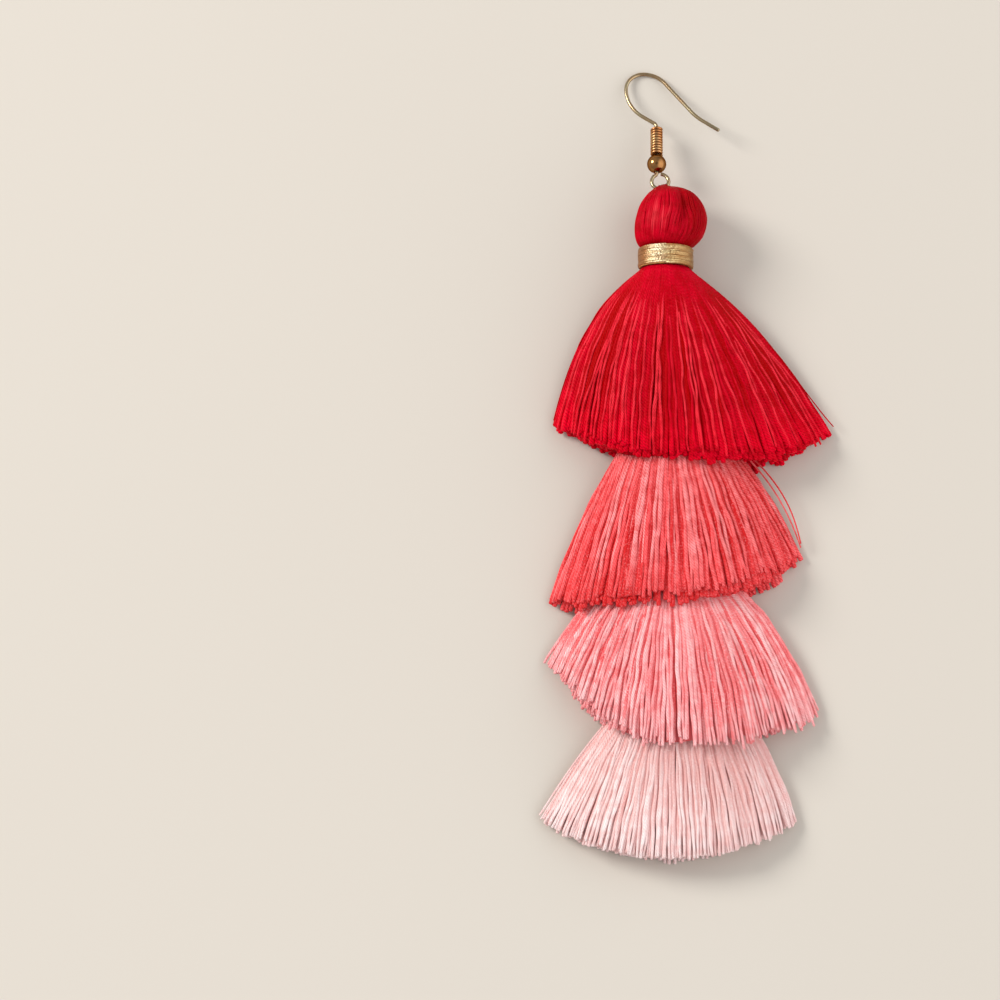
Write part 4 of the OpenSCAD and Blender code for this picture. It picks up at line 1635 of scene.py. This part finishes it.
def core_rings(drop, k):
    """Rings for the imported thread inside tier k, hollow round the next tier."""
    size = drop.size
    skirt = [
        drop.section(k, t, CORE_FAT + CORE_FAT_HEM * t, 1 + (CORE_TIP - 1) * t)
        for t in np.linspace(0, 1, SKIRT_RINGS)
    ]
    neck = drop.neck_down(k)
    slot = size.cord_d / 2 + size.tier_gap / 2
    if k == 0:
        shares = np.linspace(*HEAD_SPAN, HEAD_RINGS)
        outside = [drop.head_surface(AROUND_TURNS, share, CORE_HEAD_FAT) for share in shares] + skirt
        cord_top = size.head_top + KNOT_SHARE * size.head_len
    else:
        cord_top = neck - size.stub
        outside = [drop.round_section(cord_top, TIERS[k].neck * size.neck_r + CORE_FAT)] + skirt
    if k == LAST:
        blind = [drop.round_section(neck + size.stub, slot), drop.round_section(cord_top, slot)]
        return blind + outside
    mouth, wide = drop.mouth_share(k), size.tier_gap * HOLLOW_GAPS
    shares = np.linspace(1, 0, HOLLOW_RINGS)
    hollow = [drop.section(k + 1, share * mouth * HOLLOW_DOWN, wide) for share in shares]
    stub_down = drop.neck_down(k + 1) - size.stub - size.tier_gap
    inside = hollow + [
        drop.round_section(stub_down, TIERS[k + 1].neck * size.neck_r + size.tier_gap),
        drop.round_section(stub_down, slot),
        drop.round_section(cord_top, slot),
    ]
    return outside + inside


class EARRING_OT_fringes(bpy.types.Operator):
    """Hang the four fringes, each thread on its own, over a core of packed thread"""

    bl_idname = "earring.fringes"
    bl_label = "Hang the fringes"

    def execute(self, context):
        drop = Drop()
        finish = context.scene.earring_finish
        for k, (tier, dye) in enumerate(zip(TIERS, DYES_AND_PAINTED_LIGHT)):
            colour = getattr(finish, tier.name)
            material = thread_material(f"{tier.name}_dye", colour, dye)
            piece = thread_piece(f"{tier.name}_fringe", fringe_layers(drop, k), FRINGE_SIDES, material)
            finished(piece, [f"tassel_{tier.name}"])
            core = skinned(f"{tier.name}_core", core_rings(drop, k), closed_tube=0 < k < LAST)
            # The core is a darker copy of the dye: painted shade deep inside the fringe
            packed = core_material(f"{tier.name}_deep", towards(deeper(colour, dye.deep), colour, 0.5))
            finished(core, [f"tassel_{tier.name}"], packed)
        return {"FINISHED"}


class EARRING_OT_inner_cord(bpy.types.Operator):
    """Finish the cord that carries the lower fringes"""

    bl_idname = "earring.inner_cord"
    bl_label = "Finish the inner cord"

    def execute(self, context):
        cord = frame["nodes"]["core_cord"]
        cord.data.materials.clear()
        # The cord is the first tier's red, darkened as painted shade inside the fringe
        red = shaded(context.scene.earring_finish.red, 0.8)
        cord.data.materials.append(core_material("cord_thread", red))
        return {"FINISHED"}


# The table, and how far it lies below the part
TABLE_SIZE = 3.0
TABLE_DROP = 0.02 * MM

# The window: its size, power and distance, its turn to the left, its rise and its colour
KEY_SIZE = 0.85
KEY_POWER = 34
KEY_FAR = 2.0
KEY_TURN = math.radians(66)
KEY_RISE = math.radians(32)
KEY_COLOUR = (1.0, 0.98, 0.95)

# The room's light: where its far wall is, its power, and its colours all round, by the window, off
# the far wall and straight above
FAR_WALL = Vector((0.95, -0.12, 0.28))
WORLD_POWER = 0.65
ROOM_COLOUR = (0.71, 0.72, 0.73)
WINDOW_COLOUR = (1.0, 0.99, 0.98)
WALL_COLOUR = (3.0, 2.99, 3.0)
CEILING_COLOUR = (0.2, 0.2, 0.21)

# The camera: how steeply it looks down, how far away it is, half the width that it sees, and the
# point it looks at
VIEW_RISE = math.radians(78)
VIEW_FAR = 3.0
VIEW_HALF_WIDTH = 74 * MM
VIEW_AIM = (-27.3 * MM, -5.07 * MM, 0)


def towards_window():
    """The direction from the part to the window."""
    flat = math.cos(KEY_RISE)
    return Vector((-math.sin(KEY_TURN) * flat, math.cos(KEY_TURN) * flat, math.sin(KEY_RISE)))


def place_towards(name, data, spot, back):
    """Places a lamp or a camera at a spot, with its back turned along a direction."""
    holder = bpy.data.objects.new(name, data)
    bpy.context.scene.collection.objects.link(holder)
    holder.location = spot
    holder.rotation_mode = "QUATERNION"
    holder.rotation_quaternion = back.to_track_quat("Z", "Y")
    return holder


class EARRING_OT_stage(bpy.types.Operator):
    """Set the pale table, the soft light and the camera above it"""

    bl_idname = "earring.stage"
    bl_label = "Set the stage"

    def execute(self, context):
        finish = context.scene.earring_finish
        deselect()
        bpy.ops.mesh.primitive_plane_add(size=TABLE_SIZE, location=(0, 0, -TABLE_DROP))
        table = bpy.context.object
        settle(table, "table")
        table.data.materials.append(table_material(finish.table))
        self.light_key()
        self.light_world()
        self.set_camera()
        context.scene.view_settings.view_transform = "Standard"
        return {"FINISHED"}

    def light_key(self):
        """The large window at the upper left."""
        lamp = bpy.data.lights.new("window_light", "AREA")
        lamp.shape = "DISK"
        lamp.size = KEY_SIZE
        lamp.energy = KEY_POWER
        lamp.color = KEY_COLOUR
        place_towards("window_light", lamp, towards_window() * KEY_FAR, towards_window())

    def light_world(self):
        """Soft light from all round: brighter by the window and off the far wall, dim straight above."""
        world = bpy.data.worlds.new("studio")
        world.use_nodes = True
        tree = world.node_tree
        back = tree.nodes["Background"]
        place = put(tree, "ShaderNodeTexCoord").outputs["Generated"]
        split = put(tree, "ShaderNodeSeparateXYZ", {0: place})
        window, wall = (
            put(tree, "ShaderNodeVectorMath", {0: place, 1: side}, operation="DOT_PRODUCT").outputs["Value"]
            for side in (towards_window(), FAR_WALL)
        )
        colour = coated(
            tree,
            ROOM_COLOUR,
            (ramp(tree, window, 0.4, 0.95), WINDOW_COLOUR),
            (ramp(tree, wall, 0.3, 0.95), WALL_COLOUR),
            (ramp(tree, split.outputs[2], 0.93, 0.985, 0.6), CEILING_COLOUR),
        )
        feed(tree, colour, back.inputs["Color"])
        back.inputs["Strength"].default_value = WORLD_POWER
        bpy.context.scene.world = world

    def set_camera(self):
        """The camera above the table, at the photograph's steep angle."""
        lens = bpy.data.cameras.new("camera")
        lens.angle = 2 * math.atan(VIEW_HALF_WIDTH / VIEW_FAR)
        lens.clip_start, lens.clip_end = 0.01, 20
        back = Vector((0, -math.cos(VIEW_RISE), math.sin(VIEW_RISE)))
        spot = Vector(VIEW_AIM) + back * VIEW_FAR
        bpy.context.scene.camera = place_towards("camera", lens, spot, back)


class EARRING_PT_panel(bpy.types.Panel):
    """The steps that make the earring"""

    bl_label = "Tassel earring"
    bl_idname = "EARRING_PT_panel"
    bl_space_type = "VIEW_3D"
    bl_region_type = "UI"
    bl_category = "Earring"

    def draw(self, context):
        for operator in STEPS:
            self.layout.operator(operator.bl_idname)
        for name, kind in GROUPS.items():
            box = self.layout.box()
            for size in kind.__annotations__:
                box.prop(getattr(context.scene, name), size)


STEPS = (
    EARRING_OT_ear_wire,
    EARRING_OT_wire_coil,
    EARRING_OT_wire_ball,
    EARRING_OT_thread_head,
    EARRING_OT_binding,
    EARRING_OT_fringes,
    EARRING_OT_inner_cord,
    EARRING_OT_stage,
)
GROUPS = {"earring_wire": EarWireSizes, "earring_threads": ThreadSizes, "earring_finish": Finish}
CLASSES = (*GROUPS.values(), *STEPS, EARRING_PT_panel)


def register():
    for item in CLASSES:
        bpy.utils.register_class(item)
    for name, kind in GROUPS.items():
        setattr(bpy.types.Scene, name, PointerProperty(type=kind))


def unregister():
    for name in GROUPS:
        delattr(bpy.types.Scene, name)
    for item in reversed(CLASSES):
        bpy.utils.unregister_class(item)


def main():
    """Makes the earring and its stage."""
    register()
    for step in STEPS:
        group, name = step.bl_idname.split(".")
        getattr(getattr(bpy.ops, group), name)()


if __name__ == "__main__":
    main()
